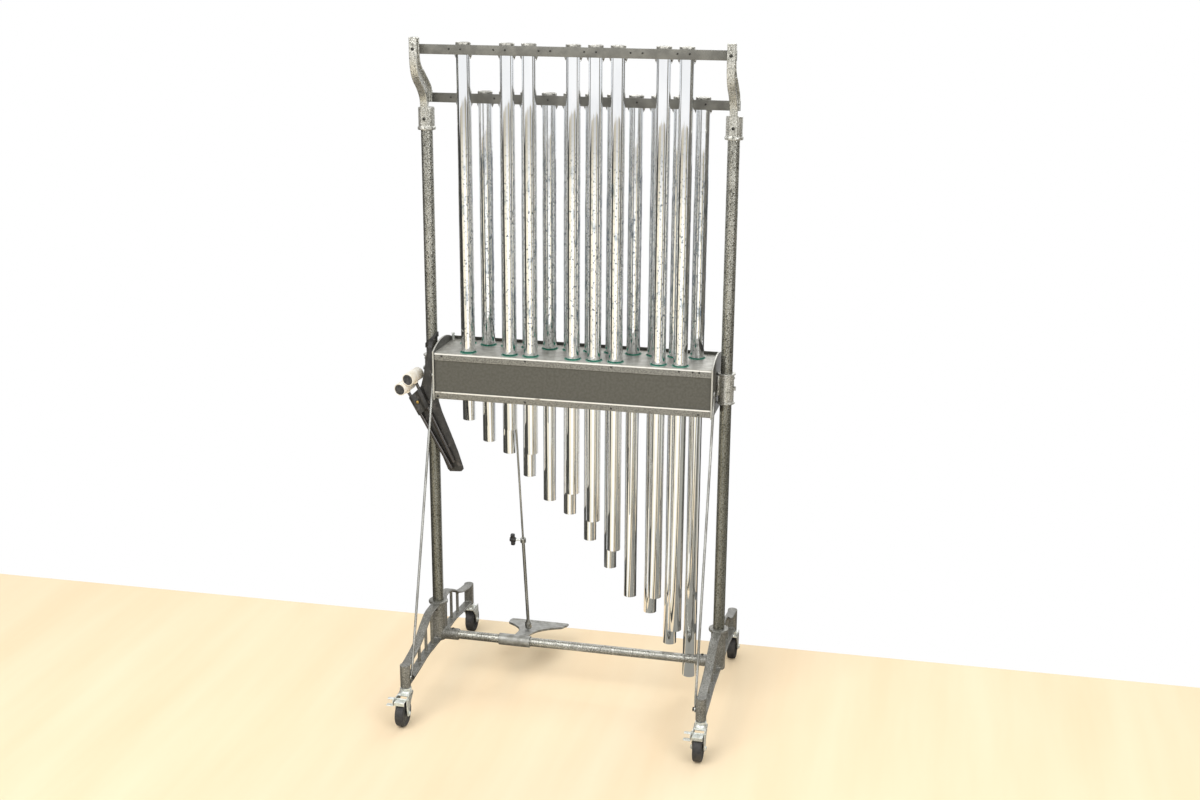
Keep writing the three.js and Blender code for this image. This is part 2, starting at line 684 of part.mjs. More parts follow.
/** The crosshead that slides on the guide pillar and spreads the two boards with its wedge. */
function crosshead() {
  const low = -crossheadHalfHeight;
  const slotHalf = eyeWidth / 2 + clearance;
  const outerX = slotHalf + earWidth;
  const wedgeX = wedgeOffset;
  const body = block([-outerX, -crossheadHalfDepth, low], [wedgeX, crossheadHalfDepth, crossheadHalfHeight]);
  const slotTop = eyeRadius + clearance;
  const slot = block([-slotHalf, -crossheadHalfDepth - overrun, low - overrun],
    [slotHalf, crossheadHalfDepth + overrun, slotTop]);
  const bore = bar([pillarOffset, 0, low - overrun], [pillarOffset, 0, crossheadHalfHeight + overrun],
    pillarRadius + clearance, holeSides);
  const pin = bar([-outerX, 0, 0], [outerX, 0, 0], rodPinRadius, pinSides);
  const wide = boardMiddle - boardThickness / 2 - clearance;
  const narrow = wide - wedgeSlope * (wedgeTop - wedgeFlatTop);
  const at = (z) => z - rodPinHeight;
  const wedge = plateInYZ([
    [-wide, at(wedgeLow)], [wide, at(wedgeLow)], [wide, at(wedgeFlatTop)],
    [narrow, at(wedgeTop)], [-narrow, at(wedgeTop)], [-wide, at(wedgeFlatTop)],
  ], wedgeX - overrun, wedgeX + wedgeLength);
  return piece('damper_crosshead', joined(cutBy(body, slot, bore), pin, wedge), finishes.aluminium,
    [pedalX, dividingY, rodPinHeight]);
}

// Pedal, hinged on the crossbar
const pedalTilt = 13.6; // degrees below level at rest
const pedalSleeveHalf = 47;
const pedalSleeveRadius = 17;
const pedalReach = 298;
const pedalHalfWidth = 91;
const pedalThickness = 7;
const pedalBarDepth = 34;
const pedalNeck = 20;
const ballReach = 150; // from the hinge to the ball, along the pedal
const ballHeight = 12; // above the middle of the pedal plate
const ballRadius = 6.5;
const ballSides = 12;
const ballRings = 8;
const ballNeck = 3.5;
const pedalClearance = 0.4;

// How the pedal flares, as shares of its reach to the foot bar and of its neck's half width
const flareShares = [[0.3, 1], [0.5, 1.25], [0.66, 1.9], [0.8, 3.1], [0.89, 4.2]];

/** The pedal: a hinge sleeve, a neck that flares to a wide foot bar, and a ball stud. */
function pedal() {
  const halfPlate = pedalThickness / 2;
  const barStart = pedalReach - pedalBarDepth;
  const right = [
    [pedalNeck, pedalSleeveRadius / 2],
    ...flareShares.map(([reachShare, neckShare]) => [pedalNeck * neckShare, barStart * reachShare]),
    [pedalHalfWidth, barStart],
    [pedalHalfWidth, pedalReach],
  ];
  const left = right.map(([x, y]) => [-x, y]).reverse();
  const plate = plateInXY([...right, ...left], -halfPlate, halfPlate);
  const sleeve = bar([-pedalSleeveHalf, 0, 0], [pedalSleeveHalf, 0, 0], pedalSleeveRadius, roundSides);
  const bore = bar([-pedalSleeveHalf - overrun, 0, 0], [pedalSleeveHalf + overrun, 0, 0],
    crossbarRadius + pedalClearance, roundSides);
  const rib = block([-halfPlate, pedalSleeveRadius - overrun, -pedalThickness], [halfPlate, barStart, 0]);
  const neck = bar([0, ballReach, 0], [0, ballReach, ballHeight], ballNeck, pinSides);
  const ball = new THREE.SphereGeometry(ballRadius, ballSides, ballRings);
  ball.rotateX(Math.PI / 2);
  ball.translate(0, ballReach, ballHeight);
  const casting = cutBy(joined(plate, sleeve, rib), bore);
  return piece('pedal', joined(casting, neck, solidOf(ball)), finishes.aluminium,
    [pedalX, 0, crossbarHeight], [-THREE.MathUtils.degToRad(pedalTilt), 0, 0]);
}

// Pull rod, from the crosshead's pin down to the pedal's ball
const rodRadius = 3;
const rodTubeRadius = 4.75;
const rodTubeBore = 3.4;
const rodClampDrop = 520; // from the pin to the clamp collar, along the rod
const rodClampHeight = 14;
const rodClampRadius = 8.5;
const rodOverlap = 60;
const cupRadius = 10;
const ballGap = 0.8;
const cupSkirt = 3;
const knobShaft = 2.5;
const knobReach = 22;
const knobHub = 7;
const knobLength = 18;
const wingSpan = 38;
const wingWidth = 14;
const wingThickness = 12;
const wingSteps = 4;

/** The rod's length and lean, from the pin and the ball where the pedal holds it. */
function rodLine() {
  const tilt = THREE.MathUtils.degToRad(pedalTilt);
  const ballY = ballReach * Math.cos(tilt) + ballHeight * Math.sin(tilt);
  const ballZ = crossbarHeight - ballReach * Math.sin(tilt) + ballHeight * Math.cos(tilt);
  const forward = ballY - dividingY;
  const drop = rodPinHeight - ballZ;
  return { length: Math.hypot(forward, drop), lean: Math.atan2(forward, drop) };
}

/** The two halves of the pull rod and the wing knob that clamps them. */
function pullRod() {
  const { length, lean } = rodLine();
  const place = [pedalX, dividingY, rodPinHeight];
  const eye = bar([-eyeWidth / 2, 0, 0], [eyeWidth / 2, 0, 0], eyeRadius, holeSides);
  const eyeBore = bar([-eyeWidth, 0, 0], [eyeWidth, 0, 0], rodPinRadius + clearance, pinSides);
  const shank = bar([0, 0, -eyeRadius + overrun], [0, 0, -rodClampDrop - rodOverlap], rodRadius, ribSides);
  piece('pull_rod_upper', joined(eye.subtract(eyeBore), shank), finishes.zinc, place, [lean, 0, 0]);

  const cupRoof = length - ballRadius - ballGap;
  const cupBottom = length + cupSkirt;
  const cupTop = cupRoof - cupRadius;
  const outer = joined(
    bar([0, 0, -rodClampDrop], [0, 0, -cupTop], rodTubeRadius, holeSides),
    bar([0, 0, -rodClampDrop], [0, 0, -rodClampDrop - rodClampHeight], rodClampRadius, holeSides),
    bar([0, 0, -cupTop], [0, 0, -cupBottom], cupRadius, holeSides),
  );
  const bore = bar([0, 0, -rodClampDrop + overrun], [0, 0, -cupTop + overrun], rodTubeBore, holeSides);
  const cup = bar([0, 0, -cupRoof], [0, 0, -cupBottom - overrun], ballRadius + ballGap, holeSides);
  const screwDrop = -rodClampDrop - rodClampHeight / 2;
  const screwHole = bar([-rodClampRadius - overrun, 0, screwDrop], [0, 0, screwDrop],
    knobShaft + clearance, pinSides);
  piece('pull_rod_lower', cutBy(outer, bore, cup, screwHole), finishes.zinc, place, [lean, 0, 0]);

  const shaft = bar([-rodRadius - clearance, 0, 0], [-knobReach, 0, 0], knobShaft, pinSides);
  const hub = bar([-knobReach, 0, 0], [-knobReach - knobLength, 0, 0], knobHub, holeSides);
  const wings = plateInYZ([
    ...arc(0, wingSpan / 2 - wingWidth / 2, wingWidth / 2, 0, 180, wingSteps),
    ...arc(0, -wingSpan / 2 + wingWidth / 2, wingWidth / 2, 180, 360, wingSteps),
  ], -knobReach - knobLength / 2 - wingThickness / 2, -knobReach - knobLength / 2 + wingThickness / 2);
  const knobPlace = [
    pedalX, dividingY - screwDrop * Math.sin(lean), rodPinHeight + screwDrop * Math.cos(lean),
  ];
  piece('clamp_knob', joined(shaft, hub, wings), finishes.plastic, knobPlace, [lean, 0, 0]);
}

// Casters
const wheelWidth = 24;
const hubWidth = 27;
const hubRadius = 13;
const axleRadius = 4;
const wheelRound = 4; // chamfer of the tread's edges
const wheelSides = 16;
const cheekInset = 15; // from the middle to a cheek's inner face
const cheekThickness = 2.5;
const forkDrop = 16;
const forkTop = legUnderside - forkDrop;
const forkPlate = 4;
const leverPinDrop = 7.5;
const leverPinZ = forkTop - leverPinDrop;
const shoeDepth = 9.5;
const shoeLow = leverPinZ - shoeDepth;
const nutRadius = 6.5;
const nutHeight = 5;
const raceRadius = 18;
const hexRadius = 17;
const hexHeight = 7.7;
const hexSides = 6;
const leverPinRadius = 2.2;
const leverPinAhead = 5;
const leverPinY = -casterTrail - leverPinAhead;
const shoeReach = 22;
const shoeFrontY = leverPinY - shoeReach;
const leverSheet = 2.5;
const tabReach = 38; // from the middle of the caster to the outer edge of the foot tabs
const forkRearY = 14;
const forkPlateFrontY = -23;
const cheekAhead = 10;
const cheekFrontY = -casterTrail - cheekAhead;
const cheekBulge = 3;
const cheekBulgeY = cheekFrontY - cheekBulge;
const cheekBulgeDrop = 22;
const cheekBulgeZ = forkTop - cheekBulgeDrop;
const cheekFootRise = 4.5;
const cheekFootZ = wheelRadius + cheekFootRise;
const cheekBehind = 14;
const cheekBackY = -casterTrail + cheekBehind;
const cheekBackDrop = 28;
const cheekBackZ = forkTop - cheekBackDrop;
const cheekNose = 9; // radius of a cheek round the axle
const noseSteps = 4;

/** A caster's swivel fork with stem, nut, race and axle, about its stem; it trails towards -Y. */
function fork(name, place, yaw) {
  const cheek = [
    [forkRearY, forkTop],
    [cheekFrontY, forkTop],
    [cheekBulgeY, cheekBulgeZ],
    [cheekFrontY, cheekFootZ],
    ...arc(-casterTrail, wheelRadius, cheekNose, 200, 340, noseSteps),
    [cheekBackY, cheekBackZ],
    [forkRearY, forkTop - forkPlate],
  ];
  const outer = cheekInset + cheekThickness;
  const leverHole = [[leverPinY, leverPinZ, leverPinRadius + clearance, pinSides]];
  const parts = [
    bar([0, 0, forkTop], [0, 0, legUnderside + stemDepth], stemRadius, roundSides),
    bar([0, 0, legUnderside - clearance - hexHeight], [0, 0, legUnderside - clearance], hexRadius, hexSides),
    bar([0, 0, forkTop - forkPlate], [0, 0, legUnderside - hexHeight], raceRadius, holeSides),
    block([-outer, forkPlateFrontY, forkTop - forkPlate], [outer, forkRearY, forkTop]),
    plateInYZ(cheek, -outer, -cheekInset, leverHole),
    plateInYZ(cheek, cheekInset, outer, leverHole),
    bar([-outer - nutHeight, -casterTrail, wheelRadius], [outer + nutHeight, -casterTrail, wheelRadius],
      axleRadius - clearance, holeSides),
    ...[-outer - nutHeight, outer].map((x) => (
      bar([x, -casterTrail, wheelRadius], [x + nutHeight, -casterTrail, wheelRadius], nutRadius, hexSides))),
  ];
  return piece(name, joined(...parts), finishes.zinc, place, [0, 0, yaw]);
}

/** A wheel about its axle, with a flat of its rim on the floor. */
function wheel(name, [x, y], yaw) {
  const flat = Math.cos(Math.PI / wheelSides);
  const rim = wheelRadius / flat;
  const [half, halfHub] = [wheelWidth / 2, hubWidth / 2];
  const shape = latheOf([
    [axleRadius, -halfHub], [hubRadius, -halfHub], [hubRadius, -half],
    [rim - wheelRound, -half], [rim, -half + wheelRound],
    [rim, half - wheelRound], [rim - wheelRound, half],
    [hubRadius, half], [hubRadius, halfHub], [axleRadius, halfHub],
  ], wheelSides);
  shape.rotateZ(Math.PI / wheelSides);
  shape.rotateY(Math.PI / 2);
  const place = [x + casterTrail * Math.sin(yaw), y - casterTrail * Math.cos(yaw), wheelRadius];
  return piece(name, solidOf(shape), finishes.rubber, place, [0, 0, yaw]);
}

/** A brake lever: a shoe plate over the tread, on a pin through the cheeks, with two foot tabs. */
function brakeLever(name, [x, y], yaw) {
  const inner = cheekInset - clearance * 2;
  const outer = cheekInset + cheekThickness + clearance;
  const halfSheet = leverSheet / 2;
  const armEdge = leverPinRadius * 2;
  const shoeDrop = shoeLow - leverPinZ;
  const shoeY = shoeFrontY - leverPinY;
  const parts = [
    bar([-outer - leverSheet, 0, 0], [outer + leverSheet, 0, 0], leverPinRadius, pinSides),
    block([-inner, shoeY, -halfSheet], [inner, 0, halfSheet]),
    block([-inner, shoeY - leverSheet, shoeDrop], [inner, shoeY, halfSheet]),
    block([-outer - leverSheet, shoeY, shoeDrop - leverSheet], [-outer, armEdge, armEdge]),
    block([-tabReach, shoeY / 2, halfSheet], [-outer, 0, halfSheet + leverSheet]),
    block([-tabReach, shoeY - leverSheet, shoeDrop - leverSheet], [-outer, shoeY / 2, shoeDrop]),
  ];
  const place = [x - leverPinY * Math.sin(yaw), y + leverPinY * Math.cos(yaw), leverPinZ];
  return piece(name, joined(...parts), finishes.zinc, place, [0, 0, yaw]);
}

// Holster and mallets, hung from the left post
const holsterY = -52; // the plane of the mallet shafts
const backingFrontY = -46;
const backingRearY = -41;
const shaftRadius = 5.5;
const headRadius = 17.5;
const headLength = 60;
const headTurn = 13; // degrees, the heads turned about their shafts
const shaftLength = 268;
const loopHalfDepth = 9;
const loopMargin = 4; // leather beside a shaft
const strapRadius = 19;
const strapDrop = 6;
const strapLow = boxTop - strapDrop;
const strapWidth = 13;
const strapHigh = strapLow + strapWidth;
// Places of the mallets: X from the left post's axis, and the drop below the strap's top
const firstHeadX = -39.7;
const firstHeadDrop = 85;
const firstHead = [firstHeadX, strapHigh - firstHeadDrop];
const headGapX = 6.8;
const headGapZ = 12;
const secondHeadX = firstHeadX - headRadius - headGapX;
const secondHead = [secondHeadX, firstHead[1] - headRadius - headGapZ];
const firstFootX = 73;
const firstFootDrop = 324;
const firstFoot = [firstFootX, strapHigh - firstFootDrop];
const footAside = 6;
const footBelow = 21;
const secondFoot = [firstFootX - footAside, firstFoot[1] - footBelow];
const strapSlope = 0.9; // the strap rises towards the box
const tabLeftX = -5;
const tabRightX = 14;
const holsterPastPost = 48;
const holsterWidth = 148;
const holsterPastFoot = 33;
const holsterLow = firstFoot[1] - holsterPastFoot;

// The holster's outline as shares of its width and height, and its bands as shares of the shafts
const holsterShares = [
  [0.338, 1], [0.432, 1], [0.432, 0.658], [0.48, 0.597], [0.534, 0.569],
  [0.588, 0.49], [0.784, 0.286], [0.899, 0.162], [1, 0.028], [0.953, 0.006], [0.703, 0],
  [0.527, 0.182], [0.169, 0.445], [0, 0.574], [0.081, 0.636], [0.189, 0.681], [0.247, 0.776],
  [0.291, 0.891],
];
const loopShares = [0.13, 0.35];
const shelfShares = [1.045, 1.07];

/** The place along a mallet's shaft, as a share of the way from its head to its foot. */
function alongShaft([headX, headZ], [footX, footZ], share) {
  return [THREE.MathUtils.lerp(headX, footX, share), THREE.MathUtils.lerp(headZ, footZ, share)];
}

/** The holster about the left post: a backing with a strap, an upper loop and a shelf below. */
function holster() {
  const backing = plateInXZ(holsterShares.map(([xShare, zShare]) => [
    xShare * holsterWidth - holsterPastPost,
    THREE.MathUtils.lerp(holsterLow, strapHigh, zShare),
  ]), backingFrontY, backingRearY);
  const margin = loopMargin + shaftRadius;
  const bandBetween = ([startShare, endShare], frontY) => {
    const across = new THREE.Vector2(firstFoot[1] - firstHead[1], firstHead[0] - firstFoot[0]).normalize();
    const at = (head, foot, share, way) => {
      const [x, z] = alongShaft(head, foot, share);
      return [x + way * margin * across.x, z + way * margin * across.y];
    };
    return plateInXZ([
      at(firstHead, firstFoot, startShare, -1), at(firstHead, firstFoot, endShare, -1),
      at(secondHead, secondFoot, endShare, 1), at(secondHead, secondFoot, startShare, 1),
    ], frontY, backingRearY);
  };
  const upperLoop = bandBetween(loopShares, holsterY - loopHalfDepth);
  const shelf = bandBetween(shelfShares, holsterY - shaftRadius);
  const channels = [[firstHead, firstFoot], [secondHead, secondFoot]].map(([head, foot]) => (
    bar([head[0], holsterY, head[1]], [foot[0], holsterY, foot[1]], shaftRadius + clearance, holeSides)));
  const rise = 2 * strapRadius * strapSlope;
  const band = plateInXZ([
    [-strapRadius, strapLow],
    [strapRadius, strapLow + rise],
    [strapRadius, strapHigh + rise],
    [-strapRadius, strapHigh],
  ], -strapRadius - overrun, strapRadius + overrun);
  const strap = band.intersect(
    bar([0, 0, strapLow - overrun], [0, 0, strapHigh + rise + overrun], strapRadius, roundSides));
  const strapBore = bar([0, 0, strapLow - strapRadius], [0, 0, strapHigh + rise + strapRadius],
    postRadius + clearance, roundSides);
  const tab = block([tabLeftX, backingFrontY, strapLow], [tabRightX, 0, strapHigh + rise / 2]);
  const leather = cutBy(joined(backing, upperLoop, shelf, strap, tab), ...channels, strapBore);
  return piece('mallet_holster', leather, finishes.vinyl, [-halfSpacing, 0, 0]);
}

/** A mallet about the middle of its head; the shaft runs down its own -Z. */
function mallet(name, head, foot) {
  const shaft = bar([0, 0, 0], [0, 0, -shaftLength], shaftRadius, ribSides);
  const turn = THREE.MathUtils.degToRad(headTurn);
  const way = new THREE.Vector3(Math.sin(turn), Math.cos(turn), 0).multiplyScalar(headLength / 2);
  const drum = bar([-way.x, -way.y, 0], [way.x, way.y, 0], headRadius, holeSides);
  const lean = Math.atan2(foot[0] - head[0], head[1] - foot[1]);
  return piece(name, joined(shaft, drum), finishes.rawhide,
    [head[0] - halfSpacing, holsterY, head[1]], [0, -lean, 0]);
}

naturals.forEach((note, place) => tube(note, place, stepsUp(note), naturalRowY, naturalCapTop));
sharps.forEach((note) => tube(`${note}_sharp`, sharpPlace(note), stepsUp(note) + 1, sharpRowY, sharpCapTop));
const railReach = halfSpacing + bracketWidth / 2;
rail('rail_upper', upperRailFrontY, sharpCapTop, railReach, sharpRowY, sharps.map(sharpPlace));
rail('rail_lower', lowerRailFrontY, naturalCapTop, railReach, naturalRowY, [...naturals.keys()]);
for (const [label, side] of bothSides) {
  post(label, side);
  leg(label, side);
  topBracket(label, side);
  boxEnd(label, side);
  clamp(label, side);
  stay(label, side);
}
crossbar();
damperBox();
damperBoard('front', -1, sharpRowY);
damperBoard('rear', 1, naturalRowY);
crosshead();
pedal();
pullRod();
for (const [label, side] of bothSides) {
  for (const [end, way, yaw] of [['front', -1, 0], ['rear', 1, Math.PI]]) {
    const at = [side * halfSpacing, way * legReach, 0];
    fork(`caster_fork_${end}_${label}`, at, yaw);
    wheel(`wheel_${end}_${label}`, at, yaw);
    if (end === 'front') brakeLever(`brake_lever_${label}`, at, yaw);
  }
}
holster();
mallet('mallet_one', firstHead, firstFoot);
mallet('mallet_two', secondHead, secondFoot);

// The origin is the middle of the boxes of the pieces as they lie in their own frames, on the floor.
const bounds = new THREE.Box3().setFromObject(bells);
const middle = bounds.getCenter(new THREE.Vector3());
bells.position.set(-middle.x, -middle.y, -bounds.min.z);
bells.updateMatrixWorld(true);

export default bells;
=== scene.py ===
import json
import logging
import math
from dataclasses import dataclass, field
from enum import Enum
from typing import Any, Iterable, Sequence

import bmesh
import bpy
import numpy as np
from mathutils import Matrix, Vector

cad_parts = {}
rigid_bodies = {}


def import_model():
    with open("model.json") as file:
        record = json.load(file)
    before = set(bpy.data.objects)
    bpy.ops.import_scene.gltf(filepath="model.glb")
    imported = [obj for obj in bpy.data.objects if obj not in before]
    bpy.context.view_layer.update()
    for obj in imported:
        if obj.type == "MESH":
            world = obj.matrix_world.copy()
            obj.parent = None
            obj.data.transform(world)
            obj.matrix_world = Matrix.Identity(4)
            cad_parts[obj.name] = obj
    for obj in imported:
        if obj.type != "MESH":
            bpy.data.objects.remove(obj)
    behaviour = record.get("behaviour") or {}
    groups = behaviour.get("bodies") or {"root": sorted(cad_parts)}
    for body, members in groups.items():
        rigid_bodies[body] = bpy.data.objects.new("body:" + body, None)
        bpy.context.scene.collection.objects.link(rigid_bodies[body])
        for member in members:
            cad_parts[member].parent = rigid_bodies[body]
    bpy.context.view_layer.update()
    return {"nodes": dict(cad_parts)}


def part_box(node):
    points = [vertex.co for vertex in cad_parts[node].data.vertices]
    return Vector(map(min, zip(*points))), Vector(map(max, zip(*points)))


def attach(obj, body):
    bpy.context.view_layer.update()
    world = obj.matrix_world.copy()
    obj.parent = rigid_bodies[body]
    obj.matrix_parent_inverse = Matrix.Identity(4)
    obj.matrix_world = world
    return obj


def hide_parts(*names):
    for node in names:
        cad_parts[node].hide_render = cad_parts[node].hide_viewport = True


for leftover in list(bpy.data.objects):
    bpy.data.objects.remove(leftover)
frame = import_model()

log = logging.getLogger("tubular_bells")

MM = 0.001  # metres in a millimetre
SMOOTH_BELOW = math.radians(42)  # edges that turn by less are shaded smooth
MERGE_WITHIN = 1e-7  # metres within which two points of a mesh are one
EDGE_RINGS = 4  # rings of points round a rounded edge
PATCH_BLEND = 0.16  # half the span over which one patch of colour blends into the next
GRAIN_SPAN = (0.3, 0.7)  # where nearly all values of a noise texture lie
MIDDLE_X = (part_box("post_left")[0].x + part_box("post_right")[1].x) / 2
STAND = "stand"
TUBES = [name for name in frame["nodes"] if name.startswith("tube_")]
EASED = {"interpolation_type": "SMOOTHSTEP"}
TIMES = {"operation": "MULTIPLY"}
GREATER = {"operation": "MAXIMUM"}
OF_COLOURS = {"data_type": "RGBA"}

Point = Sequence[float]


class Plane(Enum):
    """The plane that a flat outline lies in, with the order of its axes."""

    XY = (0, 1, 2)
    XZ = (0, 2, 1)
    YZ = (2, 0, 1)


# Shapes


@dataclass
class Shell:
    """A closed surface: its points in millimetres, and its faces as lists of point numbers."""

    points: np.ndarray
    faces: list[list[int]]

    def moved(self, origin: Point = (0, 0, 0), turn: np.ndarray | None = None) -> "Shell":
        """The same surface, turned and then moved to the origin given."""
        points = self.points if turn is None else self.points @ turn.T
        return Shell(points + np.asarray(origin, float), self.faces)


def unit(vectors: np.ndarray) -> np.ndarray:
    """Each vector divided by its length."""
    return vectors / np.maximum(np.linalg.norm(vectors, axis=-1, keepdims=True), 1e-9)


def turn_about(axis: str, degrees: float) -> np.ndarray:
    """The 3 by 3 matrix of a turn about X, Y or Z."""
    return np.array(Matrix.Rotation(math.radians(degrees), 3, axis))


def loft(rings: np.ndarray, closed: bool = False, caps: bool = True) -> Shell:
    """Joins rings of points into a surface: point j of ring i with point j + 1 of the same ring
    and with the same two points of ring i + 1.

    Args:
        rings: points of shape (rings, points in a ring, 3).
        closed: whether the last ring joins the first.
        caps: whether open ends get one flat face each.

    Returns:
        The surface as a shell.
    """
    count, around = rings.shape[:2]
    row = np.arange(count if closed else count - 1)[:, None]
    column = np.arange(around)[None, :]
    after, beside = (row + 1) % count, (column + 1) % around
    here, there = row * around, after * around
    corners = [here + column, here + beside, there + beside, there + column]
    faces = np.stack(corners, axis=-1).reshape(-1, 4).tolist()
    if caps and not closed:
        last = (count - 1) * around
        faces += [list(range(around)), list(range(last, last + around))]
    return Shell(rings.reshape(-1, 3), faces)


def spline(points: Sequence[Point], steps: int = 10) -> np.ndarray:
    """A uniform Catmull-Rom curve. Between b and c, with a before and d after them, the place at
    share t is b + t (c - a) / 2 + t^2 (2a - 5b + 4c - d) / 2 + t^3 (3b - a - 3c + d) / 2.

    Args:
        points: the points that it passes.
        steps: points on each span.

    Returns:
        The places along it.
    """
    given = np.asarray(points, float)
    held = np.concatenate([given[:1], given, given[-1:]])
    a, b, c, d = (held[n:n + len(given) - 1, None] for n in range(4))
    t = np.linspace(0, 1, steps, endpoint=False)[None, :, None]
    curve = b + t * (c - a) / 2 + t**2 * (2 * a - 5 * b + 4 * c - d) / 2 + t**3 * (3 * b - a - 3 * c + d) / 2
    return np.concatenate([curve.reshape(-1, given.shape[1]), given[-1:]])


def arc(centre: Point, radius: float, start: float, end: float, steps: int = 8) -> np.ndarray:
    """Points on a circle from one angle to another, in degrees."""
    turn = np.radians(np.linspace(start, end, steps + 1))
    return np.asarray(centre, float) + radius * np.stack([np.cos(turn), np.sin(turn)], axis=1)


def rounded_rectangle(u0: float, u1: float, v0: float, v1: float, radius: float,
                      steps: int = 4) -> np.ndarray:
    """A rectangle's outline with quarter circles for its corners."""
    corners = [(u1 - radius, v0 + radius, -90), (u1 - radius, v1 - radius, 0),
               (u0 + radius, v1 - radius, 90), (u0 + radius, v0 + radius, 180)]
    return np.concatenate([arc((u, v), radius, turn, turn + 90, steps) for u, v, turn in corners])


def slab(outline: np.ndarray, low: float, high: float, plane: Plane, edge: float = 0.6) -> Shell:
    """An outline given a thickness, with rounded edges. At the angle a, from 0 to 90 degrees, a
    ring lies edge (1 - cos a) from the face, and the outline is drawn in by edge (1 - sin a).

    Args:
        outline: points of the outline in its plane.
        low: the level of one face.
        high: the level of the other face.
        plane: the plane that the outline lies in.
        edge: the radius of the edges.

    Returns:
        The closed slab.
    """
    flat = np.asarray(outline, float)
    flat = flat[np.linalg.norm(flat - np.roll(flat, 1, axis=0), axis=1) > 1e-6]
    ahead = unit(np.roll(flat, -1, axis=0) - flat)
    aside = np.stack([ahead[:, 1], -ahead[:, 0]], axis=1)
    before = np.roll(aside, 1, axis=0)
    outwards = (aside + before) / np.maximum(1 + (aside * before).sum(axis=1), 0.4)[:, None]
    following = np.roll(flat, -1, axis=0)
    outwards *= np.sign((flat[:, 0] * following[:, 1] - following[:, 0] * flat[:, 1]).sum())
    turn = np.linspace(0, np.pi / 2, EDGE_RINGS)
    rise, draw = edge * (1 - np.cos(turn)), edge * (1 - np.sin(turn))
    levels = np.concatenate([low + rise, (high - rise)[::-1]])
    drawn = np.concatenate([draw, draw[::-1]])
    rings = flat[None] - drawn[:, None, None] * outwards[None]
    third = np.broadcast_to(levels[:, None, None], (*rings.shape[:2], 1))
    return loft(np.concatenate([rings, third], axis=-1)[..., list(plane.value)])


def block(low: Point, high: Point, edge: float = 0.8) -> Shell:
    """A box between two corners with rounded edges."""
    outline = rounded_rectangle(low[0], high[0], low[1], high[1], edge)
    return slab(outline, low[2], high[2], Plane.XY, edge)


def turned(profile: Sequence[Point], foot: Point = (0, 0, 0), way: Point = (0, 0, 1),
           sides: int = 48) -> Shell:
    """A profile turned about a line. A point at radius r and height h goes to
    foot + h way + r (cos a u + sin a v), where u and v stand square to the way.

    Args:
        profile: radius and height of each point; it starts and ends on the line, or is the
            outline of a ring.
        foot: where the line starts.
        way: the line's direction.
        sides: points round the line.

    Returns:
        The closed shape.
    """
    shape = np.asarray(profile, float)
    along = unit(np.asarray(way, float))
    square = np.eye(3)[np.argmin(np.abs(along))]
    u = unit(np.cross(along, square))
    v = np.cross(along, u)
    turn = np.linspace(0, 2 * np.pi, sides, endpoint=False)
    round_ring = np.cos(turn)[:, None] * u + np.sin(turn)[:, None] * v
    rings = np.asarray(foot, float) + shape[:, 1, None, None] * along + shape[:, 0, None, None] * round_ring
    return loft(rings, closed=bool(shape[0, 0] > 0), caps=False)


def rod(start: Point, end: Point, radius: float, edge: float = 0.5, sides: int = 32) -> Shell:
    """A round bar between two points. At the angle a, from 0 to 90 degrees, a ring of each end has
    the radius less edge (1 - sin a), and lies edge (1 - cos a) in from the end.

    Args:
        start: the middle of one end.
        end: the middle of the other end.
        radius: its radius.
        edge: the radius of its rounded ends.
        sides: points round it.

    Returns:
        The closed bar.
    """
    way = np.asarray(end, float) - np.asarray(start, float)
    length = float(np.linalg.norm(way))
    turn = np.linspace(0, np.pi / 2, EDGE_RINGS)
    foot = np.stack([radius - edge * (1 - np.sin(turn)), edge * (1 - np.cos(turn))], axis=1)
    head = np.stack([foot[::-1, 0], length - foot[::-1, 1]], axis=1)
    return turned([(0, 0), *foot, *head, (0, length)], start, way, sides)


def swept(section: np.ndarray, path: np.ndarray, across: Point, closed: bool = False,
          scale: np.ndarray | None = None) -> Shell:
    """A section carried along a path. Its first axis stays as near to the given direction as the
    path lets it, and its second is square to that and to the path.

    Args:
        section: points of the section, in its two axes.
        path: places along the way.
        across: direction of the section's first axis.
        closed: whether the path ends where it starts.
        scale: how much the section's two axes grow at each place.

    Returns:
        The closed shape.
    """
    places = np.asarray(path, float)
    if closed:
        ahead = unit(np.roll(places, -1, axis=0) - np.roll(places, 1, axis=0))
    else:
        ahead = unit(np.gradient(places, axis=0))
    side = np.asarray(across, float)
    u = unit(side - (ahead @ side)[:, None] * ahead)
    v = np.cross(ahead, u)
    sizes = np.ones((len(places), 2)) if scale is None else np.asarray(scale, float)
    first = sizes[:, 0, None] * section[:, 0]
    second = sizes[:, 1, None] * section[:, 1]
    return loft(places[:, None] + first[..., None] * u[:, None] + second[..., None] * v[:, None], closed)


def circle(radius: float, sides: int = 16) -> np.ndarray:
    """Points on a circle about zero."""
    return arc((0, 0), radius, 0, 360, sides)[:-1]


def hexagon(radius: float, height: float, foot: Point, way: Point) -> Shell:
    """A bolt's or nut's hexagon with its corners turned down."""
    low, high = radius * 0.94, height * 0.9
    return turned([(0, 0), (low, 0), (radius, height - high), (radius, high), (low, height), (0, height)],
                  foot, way, sides=6)


def screw_head(foot: Point, way: Point, radius: float = 3.4, height: float = 1.9) -> Shell:
    """A domed screw head with a round recess."""
    return turned([(0, 0), (radius, 0), (radius * 0.96, height * 0.4), (radius * 0.78, height * 0.8),
                   (radius * 0.5, height), (radius * 0.4, height), (radius * 0.32, height * 0.4),
                   (0, height * 0.4)], foot, way, sides=16)


